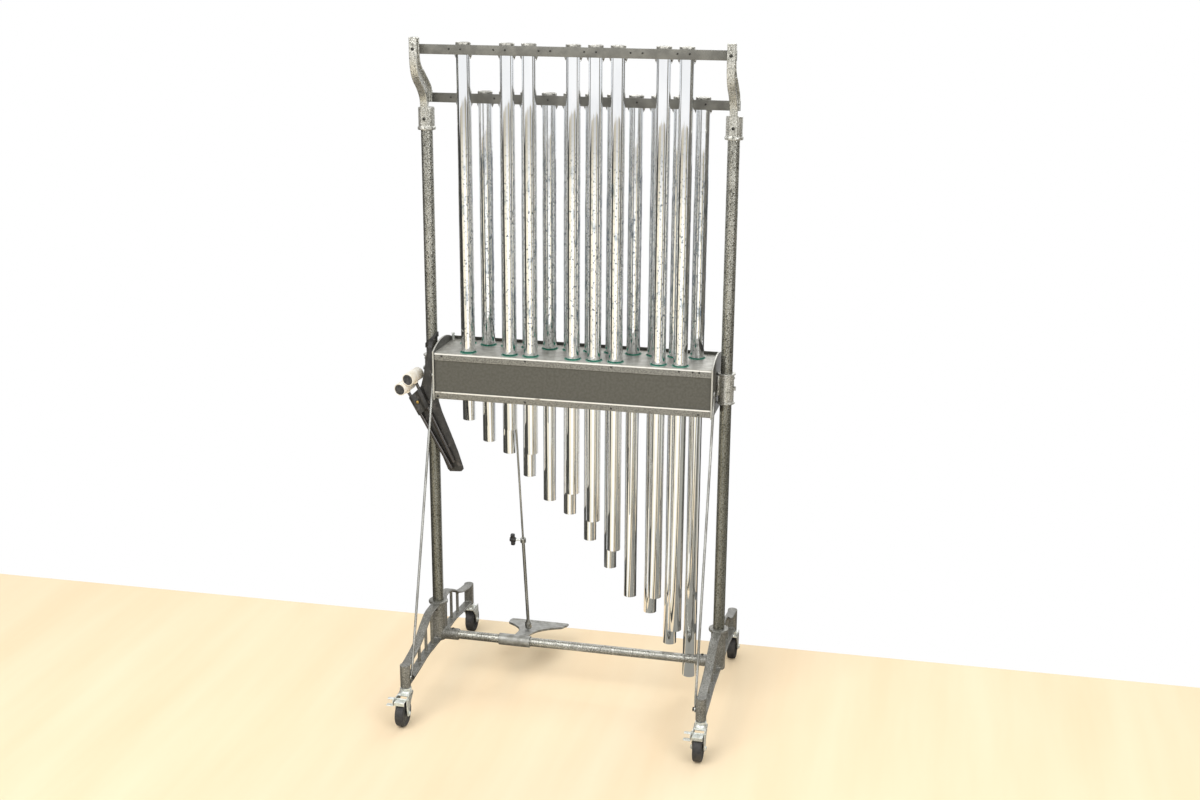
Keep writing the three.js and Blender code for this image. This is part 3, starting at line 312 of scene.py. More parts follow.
def add_object(name: str, data: bpy.types.ID) -> bpy.types.Object:
    """Adds an object with this data to the scene.

    Args:
        name: its name.
        data: its mesh, lamp or camera.

    Returns:
        The new object.
    """
    made = bpy.data.objects.new(name, data)
    bpy.context.scene.collection.objects.link(made)
    return made


def mesh_of(name: str, shells: Iterable[Shell]) -> bpy.types.Mesh:
    """A mesh in metres from shells in millimetres, its poles merged and its faces outward.

    Args:
        name: the mesh's name.
        shells: the shells, in millimetres from the middle of the posts.

    Returns:
        The mesh.
    """
    points: list[np.ndarray] = []
    faces: list[list[int]] = []
    count = 0
    for shell in shells:
        points.append(shell.points)
        faces += [[n + count for n in face] for face in shell.faces]
        count += len(shell.points)
    places = np.concatenate(points) * MM + np.array([MIDDLE_X, 0, 0])
    mesh = bpy.data.meshes.new(name)
    mesh.from_pydata(places.tolist(), [], faces)
    edit = bmesh.new()
    edit.from_mesh(mesh)
    bmesh.ops.remove_doubles(edit, verts=edit.verts, dist=MERGE_WITHIN)
    bmesh.ops.recalc_face_normals(edit, faces=edit.faces)
    edit.to_mesh(mesh)
    edit.free()
    return mesh


def worked(name: str, mesh: bpy.types.Mesh, *steps: tuple[str, dict[str, Any]]) -> bpy.types.Mesh:
    """A mesh with modifiers applied.

    Args:
        name: a name for the work.
        mesh: the mesh to start from.
        steps: the type and the settings of each modifier, in order.

    Returns:
        The finished mesh.
    """
    blank = add_object(name + "_blank", mesh)
    for kind, settings in steps:
        modifier = blank.modifiers.new(kind.lower(), kind)
        for key, value in settings.items():
            setattr(modifier, key, value)
    bpy.context.view_layer.update()
    done = bpy.data.meshes.new_from_object(blank.evaluated_get(bpy.context.evaluated_depsgraph_get()))
    bpy.data.objects.remove(blank)
    return done


def cast(name: str, shells: Iterable[Shell], voxel: float, smoothing: int = 4) -> bpy.types.Mesh:
    """One casting from overlapping shells, with soft fillets where they meet: the shells are
    remeshed together on a grid of this voxel in millimetres, and the result is smoothed."""
    return worked(name, mesh_of(name, shells),
                  ("REMESH", {"mode": "VOXEL", "voxel_size": voxel * MM}),
                  ("SMOOTH", {"factor": 0.5, "iterations": smoothing}))


def cut(name: str, mesh: bpy.types.Mesh, cutters: Iterable[Shell]) -> bpy.types.Mesh:
    """Cuts closed shells out of a mesh.

    Args:
        name: a name for the work.
        mesh: the mesh to cut.
        cutters: the shells, which don't touch each other.

    Returns:
        The cut mesh.
    """
    tool = add_object(name + "_cutter", mesh_of(name + "_cutter", cutters))
    done = worked(name, mesh, ("BOOLEAN", {"operation": "DIFFERENCE", "solver": "MANIFOLD", "object": tool}))
    bpy.data.objects.remove(tool)
    return done


# Finishes


def linear(colour: str) -> tuple[float, float, float, float]:
    """Turns an sRGB colour to linear light.

    Args:
        colour: the colour as "#rrggbb".

    Returns:
        Red, green, blue and full cover.
    """
    shares = [int(colour[n:n + 2], 16) / 255 for n in (1, 3, 5)]
    red, green, blue = (s / 12.92 if s <= 0.04045 else ((s + 0.055) / 1.055) ** 2.4 for s in shares)
    return red, green, blue, 1.0


def add_node(tree: bpy.types.NodeTree, kind: str, settings: dict[str, Any] | None = None,
             inputs: dict[str | int, Any] | None = None) -> bpy.types.Node:
    """Adds a node.

    Args:
        tree: the node tree.
        kind: the node's type.
        settings: the node's own settings.
        inputs: a value for each input, or the output that feeds it.

    Returns:
        The new node.
    """
    node = tree.nodes.new(kind)
    for key, value in (settings or {}).items():
        setattr(node, key, value)
    for key, value in (inputs or {}).items():
        if isinstance(value, bpy.types.NodeSocket):
            tree.links.new(value, node.inputs[key])
        else:
            node.inputs[key].default_value = value
    return node


@dataclass
class Coat:
    """What a finish has painted so far: the outputs that feed the surface."""

    tree: bpy.types.NodeTree
    where: bpy.types.NodeSocket
    colour: bpy.types.NodeSocket
    roughness: bpy.types.NodeSocket
    height: bpy.types.NodeSocket

    def tint(self, factor: bpy.types.NodeSocket, colour: str) -> None:
        """Lays another colour over this one where the factor is 1."""
        mix = add_node(self.tree, "ShaderNodeMix", OF_COLOURS,
                       {0: factor, 6: self.colour, 7: linear(colour)})
        self.colour = mix.outputs[2]

    def noise(self, size: float, low: float, high: float, detail: float = 3.0,
              stretch: Point = (1, 1, 1)) -> bpy.types.NodeSocket:
        """Adds cloudy patches.

        Args:
            size: their size in millimetres.
            low: the noise's value where they start.
            high: the noise's value where they are full.
            detail: how ragged their edges are.
            stretch: how much finer they are along each axis.

        Returns:
            0 outside the patches and 1 within them.
        """
        place = add_node(self.tree, "ShaderNodeMapping", {}, {"Vector": self.where, "Scale": stretch})
        cloud = add_node(self.tree, "ShaderNodeTexNoise", {},
                         {"Vector": place.outputs[0], "Scale": 1 / (size * MM), "Detail": detail})
        spread = add_node(self.tree, "ShaderNodeMapRange", EASED,
                          {"Value": cloud.outputs[0], "From Min": low, "From Max": high})
        return spread.outputs[0]

    def rougher(self, factor: bpy.types.NodeSocket, amount: float) -> None:
        """Adds to the roughness where the factor is 1."""
        added = add_node(self.tree, "ShaderNodeMath", {"operation": "MULTIPLY_ADD", "use_clamp": True},
                         {0: factor, 1: amount, 2: self.roughness})
        self.roughness = added.outputs[0]


@dataclass(frozen=True)
class Finish:
    """A surface with patches of a second colour, and a grain in its gloss and relief.

    Sizes are in millimetres. A finish that is too fine for the picture is drawn as coarse as it
    needs to show.
    """

    name: str
    slot: str
    colour: str
    shade: str
    mottle: float = 20.0
    balance: float = 0.5
    metallic: float = 0.0
    roughness: float = 0.5
    spread: float = 0.1
    grain: float = 2.0
    relief: float = 0.05
    stretch: tuple[float, float, float] = (1.0, 1.0, 1.0)
    gloss: dict[str, float] = field(default_factory=dict)

    def material(self) -> bpy.types.Material:
        """Makes the finish on first use.

        Returns:
            The finish as a material.
        """
        made = bpy.data.materials.get(self.name)
        if made:
            return made
        made = bpy.data.materials.new(self.name)
        made.use_nodes = True
        tree = made.node_tree
        tree.nodes.clear()
        where = add_node(tree, "ShaderNodeTexCoord").outputs["Object"]
        place = add_node(tree, "ShaderNodeMapping", {}, {"Vector": where, "Scale": self.stretch}).outputs[0]
        patches = add_node(tree, "ShaderNodeTexNoise", {},
                           {"Vector": place, "Scale": 1 / (self.mottle * MM), "Detail": 4.0})
        cover = add_node(tree, "ShaderNodeMapRange", EASED,
                         {"Value": patches.outputs[0], "From Min": self.balance - PATCH_BLEND,
                          "From Max": self.balance + PATCH_BLEND})
        colour = add_node(tree, "ShaderNodeMix", OF_COLOURS,
                          {0: cover.outputs[0], 6: linear(self.shade), 7: linear(self.colour)})
        grains = add_node(tree, "ShaderNodeTexNoise", {},
                          {"Vector": place, "Scale": 1 / (self.grain * MM), "Detail": 2.0})
        rough = add_node(tree, "ShaderNodeMapRange", {},
                         {"Value": grains.outputs[0], "From Min": GRAIN_SPAN[0], "From Max": GRAIN_SPAN[1],
                          "To Min": max(self.roughness - self.spread, 0.02),
                          "To Max": self.roughness + self.spread})
        coat = Coat(tree, where, colour.outputs[2], rough.outputs[0], grains.outputs[0])
        self.dress(coat)
        bump = add_node(tree, "ShaderNodeBump", {},
                        {"Strength": 1.0, "Distance": self.relief * MM, "Height": coat.height})
        shader = add_node(tree, "ShaderNodeBsdfPrincipled", {},
                          {"Base Color": coat.colour, "Roughness": coat.roughness,
                           "Metallic": self.metallic, "Normal": bump.outputs[0], **self.gloss})
        add_node(tree, "ShaderNodeOutputMaterial", {}, {"Surface": shader.outputs[0]})
        return made

    def dress(self, coat: Coat) -> None:
        """Adds to the coat what this kind of finish has beyond patches and grain."""


@dataclass(frozen=True)
class Hammertone(Finish):
    """Sprayed hammer enamel: paint with metal flake that draws together into bright dimples with
    dark veins between them. The eye sees a silver-grey speckle."""

    cell: float = 3.2
    vein: str = "#4b4a45"
    vein_reach: tuple[float, float] = (0.5, 0.9)
    dimple: str = "#d3d4cf"
    dimple_reach: tuple[float, float] = (0.34, 0.12)
    depth: float = 0.7
    ripple: float = 0.6
    bend: float = 0.002
    grime: float = 0.0
    grime_colour: str = "#565549"
    grime_height: tuple[float, float] = (1.35, 0.7)

    def dress(self, coat: Coat) -> None:
        """Adds the veins, the bright dimples, their relief, and painted shade that darkens a post towards
        its foot.

        Args:
            coat: what is painted so far.
        """
        ripple = add_node(coat.tree, "ShaderNodeTexNoise", {},
                          {"Vector": coat.where, "Scale": self.ripple / (self.cell * MM), "Detail": 2.0})
        bent = add_node(coat.tree, "ShaderNodeMix", {"data_type": "VECTOR"},
                        {0: self.bend, 4: coat.where, 5: ripple.outputs["Color"]})
        cells = add_node(coat.tree, "ShaderNodeTexVoronoi", {"feature": "F1"},
                         {"Vector": bent.outputs[1], "Scale": 1 / (self.cell * MM), "Randomness": 1.0})
        reach = add_node(coat.tree, "ShaderNodeMapRange", EASED,
                         {"Value": cells.outputs["Distance"], "From Min": self.vein_reach[0],
                          "From Max": self.vein_reach[1], "To Max": self.depth})
        core = add_node(coat.tree, "ShaderNodeMapRange", EASED,
                        {"Value": cells.outputs["Distance"], "From Min": self.dimple_reach[0],
                         "From Max": self.dimple_reach[1], "To Max": self.depth})
        coat.tint(reach.outputs[0], self.vein)
        coat.tint(core.outputs[0], self.dimple)
        coat.height = cells.outputs["Distance"]
        # Painted shade: the colour darkens towards the foot of a post.
        if self.grime:
            level = add_node(coat.tree, "ShaderNodeSeparateXYZ", {}, {0: coat.where}).outputs["Z"]
            low = add_node(coat.tree, "ShaderNodeMapRange", EASED,
                           {"Value": level, "From Min": self.grime_height[0],
                            "From Max": self.grime_height[1], "To Max": self.grime})
            coat.tint(low.outputs[0], self.grime_colour)


@dataclass(frozen=True)
class Chrome(Finish):
    """Chromium plate on brass tube, buffed: a mirror with bluish streaks and small dull pits
    where players and hands have worn it, above the damper box."""

    streak: float = 14.0
    streak_shares: tuple[float, float] = (0.52, 0.76)
    streak_colour: str = "#9aa8b5"
    streak_dullness: float = 0.08
    pit: float = 4.0
    pit_shares: tuple[float, float] = (0.56, 0.68)
    pit_colour: str = "#56636e"
    pit_dullness: float = 0.25
    worn_edges: tuple[tuple[float, float], ...] = ((0.94, 1.1), (1.68, 1.42))

    def dress(self, coat: Coat) -> None:
        """Adds the streaks, the pits and the duller places, between the worn edges' heights in
        metres.

        Args:
            coat: what is painted so far.
        """
        streaks = coat.noise(self.streak, *self.streak_shares, detail=6.0, stretch=(1, 1, 0.3))
        height = add_node(coat.tree, "ShaderNodeSeparateXYZ", {}, {0: coat.where}).outputs["Z"]
        above, below = (add_node(coat.tree, "ShaderNodeMapRange", EASED,
                                 {"Value": height, "From Min": start, "From Max": end}).outputs[0]
                        for start, end in self.worn_edges)
        worn = add_node(coat.tree, "ShaderNodeMath", TIMES, {0: above, 1: below}).outputs[0]
        blue = add_node(coat.tree, "ShaderNodeMath", TIMES, {0: streaks, 1: worn})
        coat.tint(blue.outputs[0], self.streak_colour)
        pits = coat.noise(self.pit, *self.pit_shares, detail=3.0, stretch=(1, 1, 0.6))
        spots = add_node(coat.tree, "ShaderNodeMath", TIMES, {0: pits, 1: worn})
        coat.tint(spots.outputs[0], self.pit_colour)
        coat.rougher(spots.outputs[0], self.pit_dullness)
        coat.rougher(blue.outputs[0], self.streak_dullness)


@dataclass(frozen=True)
class WornPlate(Finish):
    """Hammer enamel on folded sheet, worn through on top by hands and tubes: a pale scuffed
    plate, silver speckled lips with a painted highlight along the top of each, and a few rust marks."""

    lip: str = "#8b8a82"
    speckle: str = "#6a6963"
    rubbed: str = "#ecebe4"
    scuff: str = "#8a867c"
    rust: str = "#5d4030"
    worn_lines: tuple[tuple[float, float], ...] = ((1004.5, 2.5), (895.0, 1.8))

    def dress(self, coat: Coat) -> None:
        """Adds the speckle on the lips, the painted highlight lines, each at a height and with half a
        width in millimetres, the scuffs and the rust.

        Args:
            coat: what is painted so far.
        """
        normal = add_node(coat.tree, "ShaderNodeNewGeometry").outputs["Normal"]
        up = add_node(coat.tree, "ShaderNodeSeparateXYZ", {}, {0: normal}).outputs["Z"]
        side = add_node(coat.tree, "ShaderNodeMapRange", EASED,
                        {"Value": up, "From Min": 0.6, "From Max": 0.1}).outputs[0]
        coat.tint(side, self.lip)
        speckle = coat.noise(3.2, 0.44, 0.6, detail=2.0)
        lips = add_node(coat.tree, "ShaderNodeMath", TIMES, {0: side, 1: speckle})
        coat.tint(lips.outputs[0], self.speckle)
        level = add_node(coat.tree, "ShaderNodeSeparateXYZ", {}, {0: coat.where}).outputs["Z"]
        # Painted highlight: a bright line along the top of each lip, on its side faces.
        for bright, reach in self.worn_lines:
            line = add_node(coat.tree, "ShaderNodeMath", {"operation": "COMPARE"},
                            {0: level, 1: bright * MM, 2: reach * MM})
            edge = add_node(coat.tree, "ShaderNodeMath", TIMES, {0: line.outputs[0], 1: side})
            coat.tint(edge.outputs[0], self.rubbed)
        coat.tint(coat.noise(30, 0.62, 0.75, detail=6.0), self.scuff)
        coat.tint(coat.noise(9, 0.72, 0.78, detail=4.0), self.rust)


@dataclass(frozen=True)
class RubbedEdge(Finish):
    """Hammer enamel on a sawn plate: dark on its faces, partly grime and partly painted shade, with a
    painted highlight along its edges.
    """

    rubbed: str = "#b9b8b0"

    def dress(self, coat: Coat) -> None:
        """Lightens the faces that don't look along X: a painted highlight on the plate's edges.

        Args:
            coat: what is painted so far.
        """
        normal = add_node(coat.tree, "ShaderNodeNewGeometry").outputs["Normal"]
        along = add_node(coat.tree, "ShaderNodeSeparateXYZ", {}, {0: normal}).outputs["X"]
        size = add_node(coat.tree, "ShaderNodeMath", {"operation": "ABSOLUTE"}, {0: along})
        edge = add_node(coat.tree, "ShaderNodeMapRange", EASED,
                        {"Value": size.outputs[0], "From Min": 0.8, "From Max": 0.3})
        coat.tint(edge.outputs[0], self.rubbed)


@dataclass(frozen=True)
class Leather(Finish):
    """Tanned hide, dyed black and rolled: a pebbled grain with scuffed patches."""

    pebble: float = 3.5
    scuff: str = "#56524f"

    def dress(self, coat: Coat) -> None:
        """Adds the pebbles' relief and the scuffs.

        Args:
            coat: what is painted so far.
        """
        cells = add_node(coat.tree, "ShaderNodeTexVoronoi", {"feature": "SMOOTH_F1"},
                         {"Vector": coat.where, "Scale": 1 / (self.pebble * MM), "Smoothness": 0.6})
        coat.height = cells.outputs["Distance"]
        coat.tint(coat.noise(18, 0.58, 0.72, detail=5.0), self.scuff)


@dataclass(frozen=True)
class Fibre(Finish):
    """Wool felt or twisted cord: short fibres that scatter light at the edge of the surface."""

    strand: float = 1.4
    coarser: float = 6.3

    def dress(self, coat: Coat) -> None:
        """Adds the fibres as slanting waves, drawn coarser than the strands so that they show.

        Args:
            coat: what is painted so far.
        """
        wave = add_node(coat.tree, "ShaderNodeTexWave", {"bands_direction": "DIAGONAL"},
                        {"Vector": coat.where, "Scale": 1 / (self.strand * MM * self.coarser),
                         "Distortion": 4.0, "Detail": 2.0, "Detail Scale": 2.0})
        coat.height = wave.outputs["Fac"]
        coat.tint(coat.noise(2.5, 0.45, 0.62), self.shade)


# Sprayed hammer enamel on the posts: a bright silver speckle with dark veins, and painted shade that darkens
# it low down.
ENAMEL = Hammertone("hammer_enamel_grey", "hammertone", "#b2b1a8", "#9b9a91", mottle=60, metallic=0.8,
                    roughness=0.24, grain=3, relief=0.4, grime=0.65, cell=3.0, vein="#45443e",
                    dimple="#eeefea", depth=1.0)
# The same hammer enamel drawn paler on the small castings, as a painted highlight of the strong light on
# them, with softer veins.
LIT_ENAMEL = Hammertone("hammer_enamel_silver", "hammertone", "#cac9c1", "#abaaa1", mottle=40,
                           metallic=0.6, roughness=0.26, spread=0.08, grain=3, relief=0.4,
                           vein="#6b6a63", dimple="#f6f6f1", depth=0.9)
# Hammer enamel on the crossbar: a greyer silver speckle.
BAR_ENAMEL = Hammertone("hammer_enamel_bar", "hammertone", "#a3a299", "#87867e", mottle=40, metallic=0.7,
                        roughness=0.28, spread=0.08, grain=3, relief=0.4, vein="#4a4943",
                        dimple="#eeeee9", depth=0.9)
# The same hammer enamel drawn darker on the legs: dark grey with a faint speckle.
DARK_ENAMEL = Hammertone("hammer_enamel_dark", "hammertone", "#85847d", "#74736d", mottle=45,
                         metallic=0.5, roughness=0.38, spread=0.08, grain=3, relief=0.3, depth=0.6)
# Matt enamel sprayed on flat bar: an even grey with little shine.
RAIL_PAINT = Finish("rail_enamel_matt", "rail_paint", "#77766f", "#66655f", mottle=30, metallic=0.3,
                    roughness=0.55, spread=0.08, grain=1.5, relief=0.06)
# Chromium plate, buffed: a clear mirror.
TUBE_CHROME = Chrome("chromium_plate_buffed", "chrome", "#fafbfc", "#f1f3f5", mottle=45, metallic=1,
                     roughness=0.05, spread=0.025, grain=10, relief=0.004, stretch=(1, 1, 0.3))
# Nickel plate dulled by hands: a soft warm grey with darker spots.
CAP_METAL = Finish("nickel_plate_dulled", "chrome", "#bfbdb5", "#85837a", mottle=7, metallic=0.5,
                   roughness=0.36, spread=0.12, relief=0.03)
# Zinc plate on stamped steel: pale and cloudy, half dull.
ZINC = Finish("zinc_plate_bright", "zinc", "#e9ebe6", "#ccd0c9", mottle=9, metallic=0.6, roughness=0.34,
              grain=1.6, relief=0.03)
# Drawn steel rod: grey, with streaks along its length.
STEEL = Finish("steel_rod_drawn", "zinc", "#c2c2bd", "#8f8e88", mottle=24, metallic=0.95, roughness=0.3,
               relief=0.02, stretch=(1, 1, 0.15))
# Blackened steel: small dark heads with a soft shine.
DARK_SCREW = Finish("steel_screw_blackened", "zinc", "#55544f", "#2e2d2b", mottle=3, metallic=0.8,
                    roughness=0.42, spread=0.12, grain=1.2, relief=0.03)
# Plated steel: pale heads with a brighter shine.
BRIGHT_SCREW = Finish("steel_screw_plated", "zinc", "#bfbeb8", "#85837c", mottle=4, metallic=0.9,
                      roughness=0.3, grain=1.2, relief=0.03)
# Sand-cast aluminium: dull silver grey with a grainy skin.
PEDAL_METAL = Finish("aluminium_sand_cast", "pedal_metal", "#a3a39e", "#82817b", mottle=16, metallic=0.7,
                     roughness=0.46, spread=0.12, grain=1.6, relief=0.12)
# Wrinkle enamel: nearly black and matt, with a fine crust.
PANEL = Finish("panel_enamel_wrinkle", "panel", "#585750", "#4f4e46", mottle=7, metallic=0.05,
               roughness=0.68, grain=2.2, relief=0.14)
# Hammer enamel worn through: a pale scuffed plate with silver lips.
PLATE = WornPlate("hammer_enamel_worn", "plate", "#a9a8a0", "#918f86", mottle=22, metallic=0.35,
                  roughness=0.42, spread=0.12, grain=2.4, relief=0.08)
# Enamel on sawn plate: dark faces, partly painted shade, with a painted highlight on the edges.
END_EDGE = RubbedEdge("end_plate_enamel", "hammertone", "#62615b", "#4b4a45", mottle=6, metallic=0.4,
                      roughness=0.42, grain=2.5, relief=0.15)
# Moulded rubber: dull charcoal with a little dust.
RUBBER = Finish("rubber_moulded", "tyre", "#2a2a2c", "#3b3a39", mottle=12, roughness=0.62, spread=0.12,
                grain=1.5)
# Moulded phenolic: black with a waxy shine.
KNOB = Finish("phenolic_moulded", "knob", "#1d1d1f", "#2b2b2c", mottle=10, roughness=0.36, grain=1.5,
              relief=0.02)
# Dyed hide, rolled: black and pebbled, half dull.
HIDE = Leather("leather_dyed_black", "holster", "#393835", "#292826", mottle=24, roughness=0.46,
               spread=0.12, grain=1.5, relief=0.35)
# Waxed thread: dark and dull, a little lighter than the hide.
THREAD = Fibre("thread_waxed", "holster", "#4d4a48", "#353231", mottle=4, roughness=0.75, relief=0.08,
               strand=0.8)
# Wool felt: deep green without shine, lighter along its fibres.
FELT = Fibre("wool_felt_green", "plate", "#1f6650", "#3b937a", mottle=6, roughness=0.95, spread=0.04,
             grain=1, relief=0.25, gloss={"Sheen Weight": 0.4})
# Pressed grey felt of the boards: flat and matt.
BOARD_FELT = Fibre("board_felt_grey", "rail_paint", "#5f665f", "#7d837b", mottle=9, roughness=0.95,
                   spread=0.04, grain=1, relief=0.2, gloss={"Sheen Weight": 0.3})
# Braided nylon: a dirty cream with a soft twist.
CORD = Fibre("cord_braided_nylon", "chrome", "#a3a094", "#7b786d", mottle=3, roughness=0.8, relief=0.12,
             strand=0.9)
# Rolled rawhide: ivory and smooth, a little waxy.
RAWHIDE = Finish("rawhide_rolled", "mallet", "#f3eee2", "#e0d7c4", mottle=12, roughness=0.55,
                 relief=0.1, stretch=(1, 1, 0.4))
# Rawhide struck dirty: dark grey and rough.
HEAD_FACE = Finish("rawhide_face_worn", "mallet", "#4a4a49", "#2f2f30", mottle=6, roughness=0.6,
                   spread=0.12, relief=0.12)
# Stained hickory under lacquer: nearly black with a hard shine.
SHAFT = Finish("hickory_stained_lacquered", "mallet", "#37312b", "#26211d", mottle=14, roughness=0.14,
               spread=0.06, relief=0.02, stretch=(1, 1, 0.1), gloss={"Coat Weight": 0.6})
# Brass: a warm yellow shine.
BRASS = Finish("brass_rivet", "zinc", "#c9a964", "#9a7c42", mottle=3, metallic=1, roughness=0.3,
               grain=1, relief=0.02)


# Pieces


def add_piece(name: str, shape: bpy.types.Mesh | Iterable[Shell], finish: Finish, body: str = STAND,
              replaces: Sequence[str] = ()) -> bpy.types.Object:
    """Adds one piece to the bells.

    Args:
        name: the piece's name.
        shape: its mesh, or the shells that it is made of.
        finish: its finish.
        body: the body that it moves with.
        replaces: the nodes that it stands for.

    Returns:
        The new object.
    """
    mesh = shape if isinstance(shape, bpy.types.Mesh) else mesh_of(name, shape)
    mesh.name = name
    mesh.shade_smooth()
    mesh.set_sharp_from_angle(angle=SMOOTH_BELOW)
    mesh.materials.clear()
    mesh.materials.append(finish.material())
    piece = add_object(name, mesh)
    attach(piece, body)
    if replaces:
        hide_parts(*replaces)
    log.info("%s: %d faces, %s, on %s", name, len(mesh.polygons), finish.name, body)
    return piece


def dress_node(node: str, finish: Finish) -> None:
    """Gives its finish to a node that keeps its own shape.

    Args:
        node: the node's name.
        finish: its finish.
    """
    for place in frame["nodes"][node].material_slots:
        place.material = finish.material()
    log.info("%s keeps its shape, %s", node, finish.name)


@dataclass
class Stance:
    """Sizes that several parts of the bells share, in millimetres from the middle of the posts."""

    post_x: float = 414.0
    post_radius: float = 16.0
    post_top: float = 1650.0
    leg_reach: float = 292.0
    leg_underside: float = 104.0
    barrel_top: float = 241.0
    crossbar_height: float = 136.0
    sharp_y: float = -42.0
    natural_y: float = 52.0
    peg_offset: float = 23.5
    peg_radius: float = 2.5
    peg_drop: float = 15.0
    peg_past: float = 5.0
    clearance: float = 0.3


class Side(Enum):
    """The two ends of the bells, seen from the audience."""

    LEFT = ("left", -1)
    RIGHT = ("right", 1)

    @property
    def label(self) -> str:
        """The word for this side in a node's name."""
        return self.value[0]

    @property
    def sign(self) -> int:
        """-1 on the left and 1 on the right."""
        return self.value[1]


def tube_place(node: str) -> tuple[float, float, float, float]:
    """Reads where a tube stands.

    Args:
        node: the tube's node.

    Returns:
        Its axis in X, from the middle of the posts, and in Y, its lower end and its top.
    """
    low, high = (np.array(corner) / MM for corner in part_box(node))
    return (low[0] + high[0]) / 2 - MIDDLE_X / MM, (low[1] + high[1]) / 2, low[2], high[2]


@dataclass
class Bells:
    """The twenty tubes with their pressed caps, and the cord loops that they hang on."""

    stance: Stance
    radius: float = 19.05
    wall: float = 1.65
    cap_radius: float = 20.0
    cap_height: float = 9.0
    cap_depth: float = 14.0
    cord_radius: float = 0.95
    hole_drop: float = 25.0
    eyelet_radius: float = 2.7
    eyelet_roll: float = 0.7

    def tube(self, low: float, top: float, x: float, y: float) -> Shell:
        """A tube open below, closed above by the plug of its cap."""
        bore, plug = self.radius - self.wall, top - self.cap_depth
        return turned([
            (0, top - 3), (self.radius - 0.4, top - 3), (self.radius, top - 3.4), (self.radius, low + 0.5),
            (self.radius - 0.4, low), (bore + 0.4, low), (bore, low + 0.5), (bore, plug), (0, plug),
        ], (x, y, 0), sides=64)

    def cap(self, top: float, x: float, y: float) -> Shell:
        """A pressed cap over the tube's end, with a rounded rim and a dished face."""
        rim, under, within = self.cap_radius, top - self.cap_height, self.radius - 0.3
        return turned([
            (0, top - 1.3), (rim - 5, top - 1.2), (rim - 3.4, top - 0.5), (rim - 2.2, top), (rim - 1.4, top),
            (rim - 0.4, top - 0.5), (rim, top - 1.4), (rim, under + 0.7), (rim - 0.4, under),
            (within, under), (within, top - 2.6), (0, top - 2.6),
        ], (x, y, 0), sides=64)

    def eyelet(self, x: float, y: float, z: float, way: int) -> Shell:
        """A small rolled ring in the tube's wall where the cord goes in."""
        ring = arc((self.eyelet_radius, self.radius), self.eyelet_roll, 0, 360, 8)[:-1]
        return turned(ring, (x, y, z), (way, 0, 0), sides=20)

    def cord_path(self) -> np.ndarray:
        """The loop of cord in XZ about the line of the pegs: over one peg, down to a hole in the
        tube's wall, across the tube, up over the other peg and back.

        Returns:
            The places along the closed loop.
        """
        reach = self.stance.peg_radius + self.cord_radius
        peg, hole = self.stance.peg_offset, self.hole_drop
        over = arc((peg, 0), reach, -20, 200, 10)
        outer = [(0, -hole - 1.3), (11, -hole - 1.3), (18.4, -hole - 1.2), (21.2, -hole + 3), (25.4, -10)]
        inner = [(20.2, -10), (20.0, -hole + 6), (18.6, -hole + 1.7), (11, -hole + 1.3)]
        right = np.concatenate([outer, over, inner])
        left = right[1:][::-1] * np.array([-1, 1])
        middle = np.array([[0, -hole + 1.3]])
        keys = np.concatenate([right, middle, left])
        return spline(np.concatenate([keys, keys[:1]]), 3)[:-1]

    def build(self) -> None:
        """Builds every tube and its cord from the place of its node."""
        path = self.cord_path()
        for node in sorted(TUBES):
            x, y, low, high = tube_place(node)
            pegs = high - self.stance.peg_drop
            note = node.removeprefix("tube_")
            eyelets = [self.eyelet(x, y, pegs - self.hole_drop, way) for way in (-1, 1)]
            tube = [self.tube(low, high, x, y), *eyelets]
            add_piece(f"bell_{note}", tube, TUBE_CHROME, node, [node])
            add_piece(f"bell_cap_{note}", [self.cap(high, x, y)], CAP_METAL, node)
            route = np.stack([path[:, 0] + x, np.full(len(path), y), path[:, 1] + pegs], axis=1)
            cord = swept(circle(self.cord_radius, 8), route, (0, 1, 0), closed=True)
            add_piece(f"bell_cord_{note}", [cord], CORD, node)


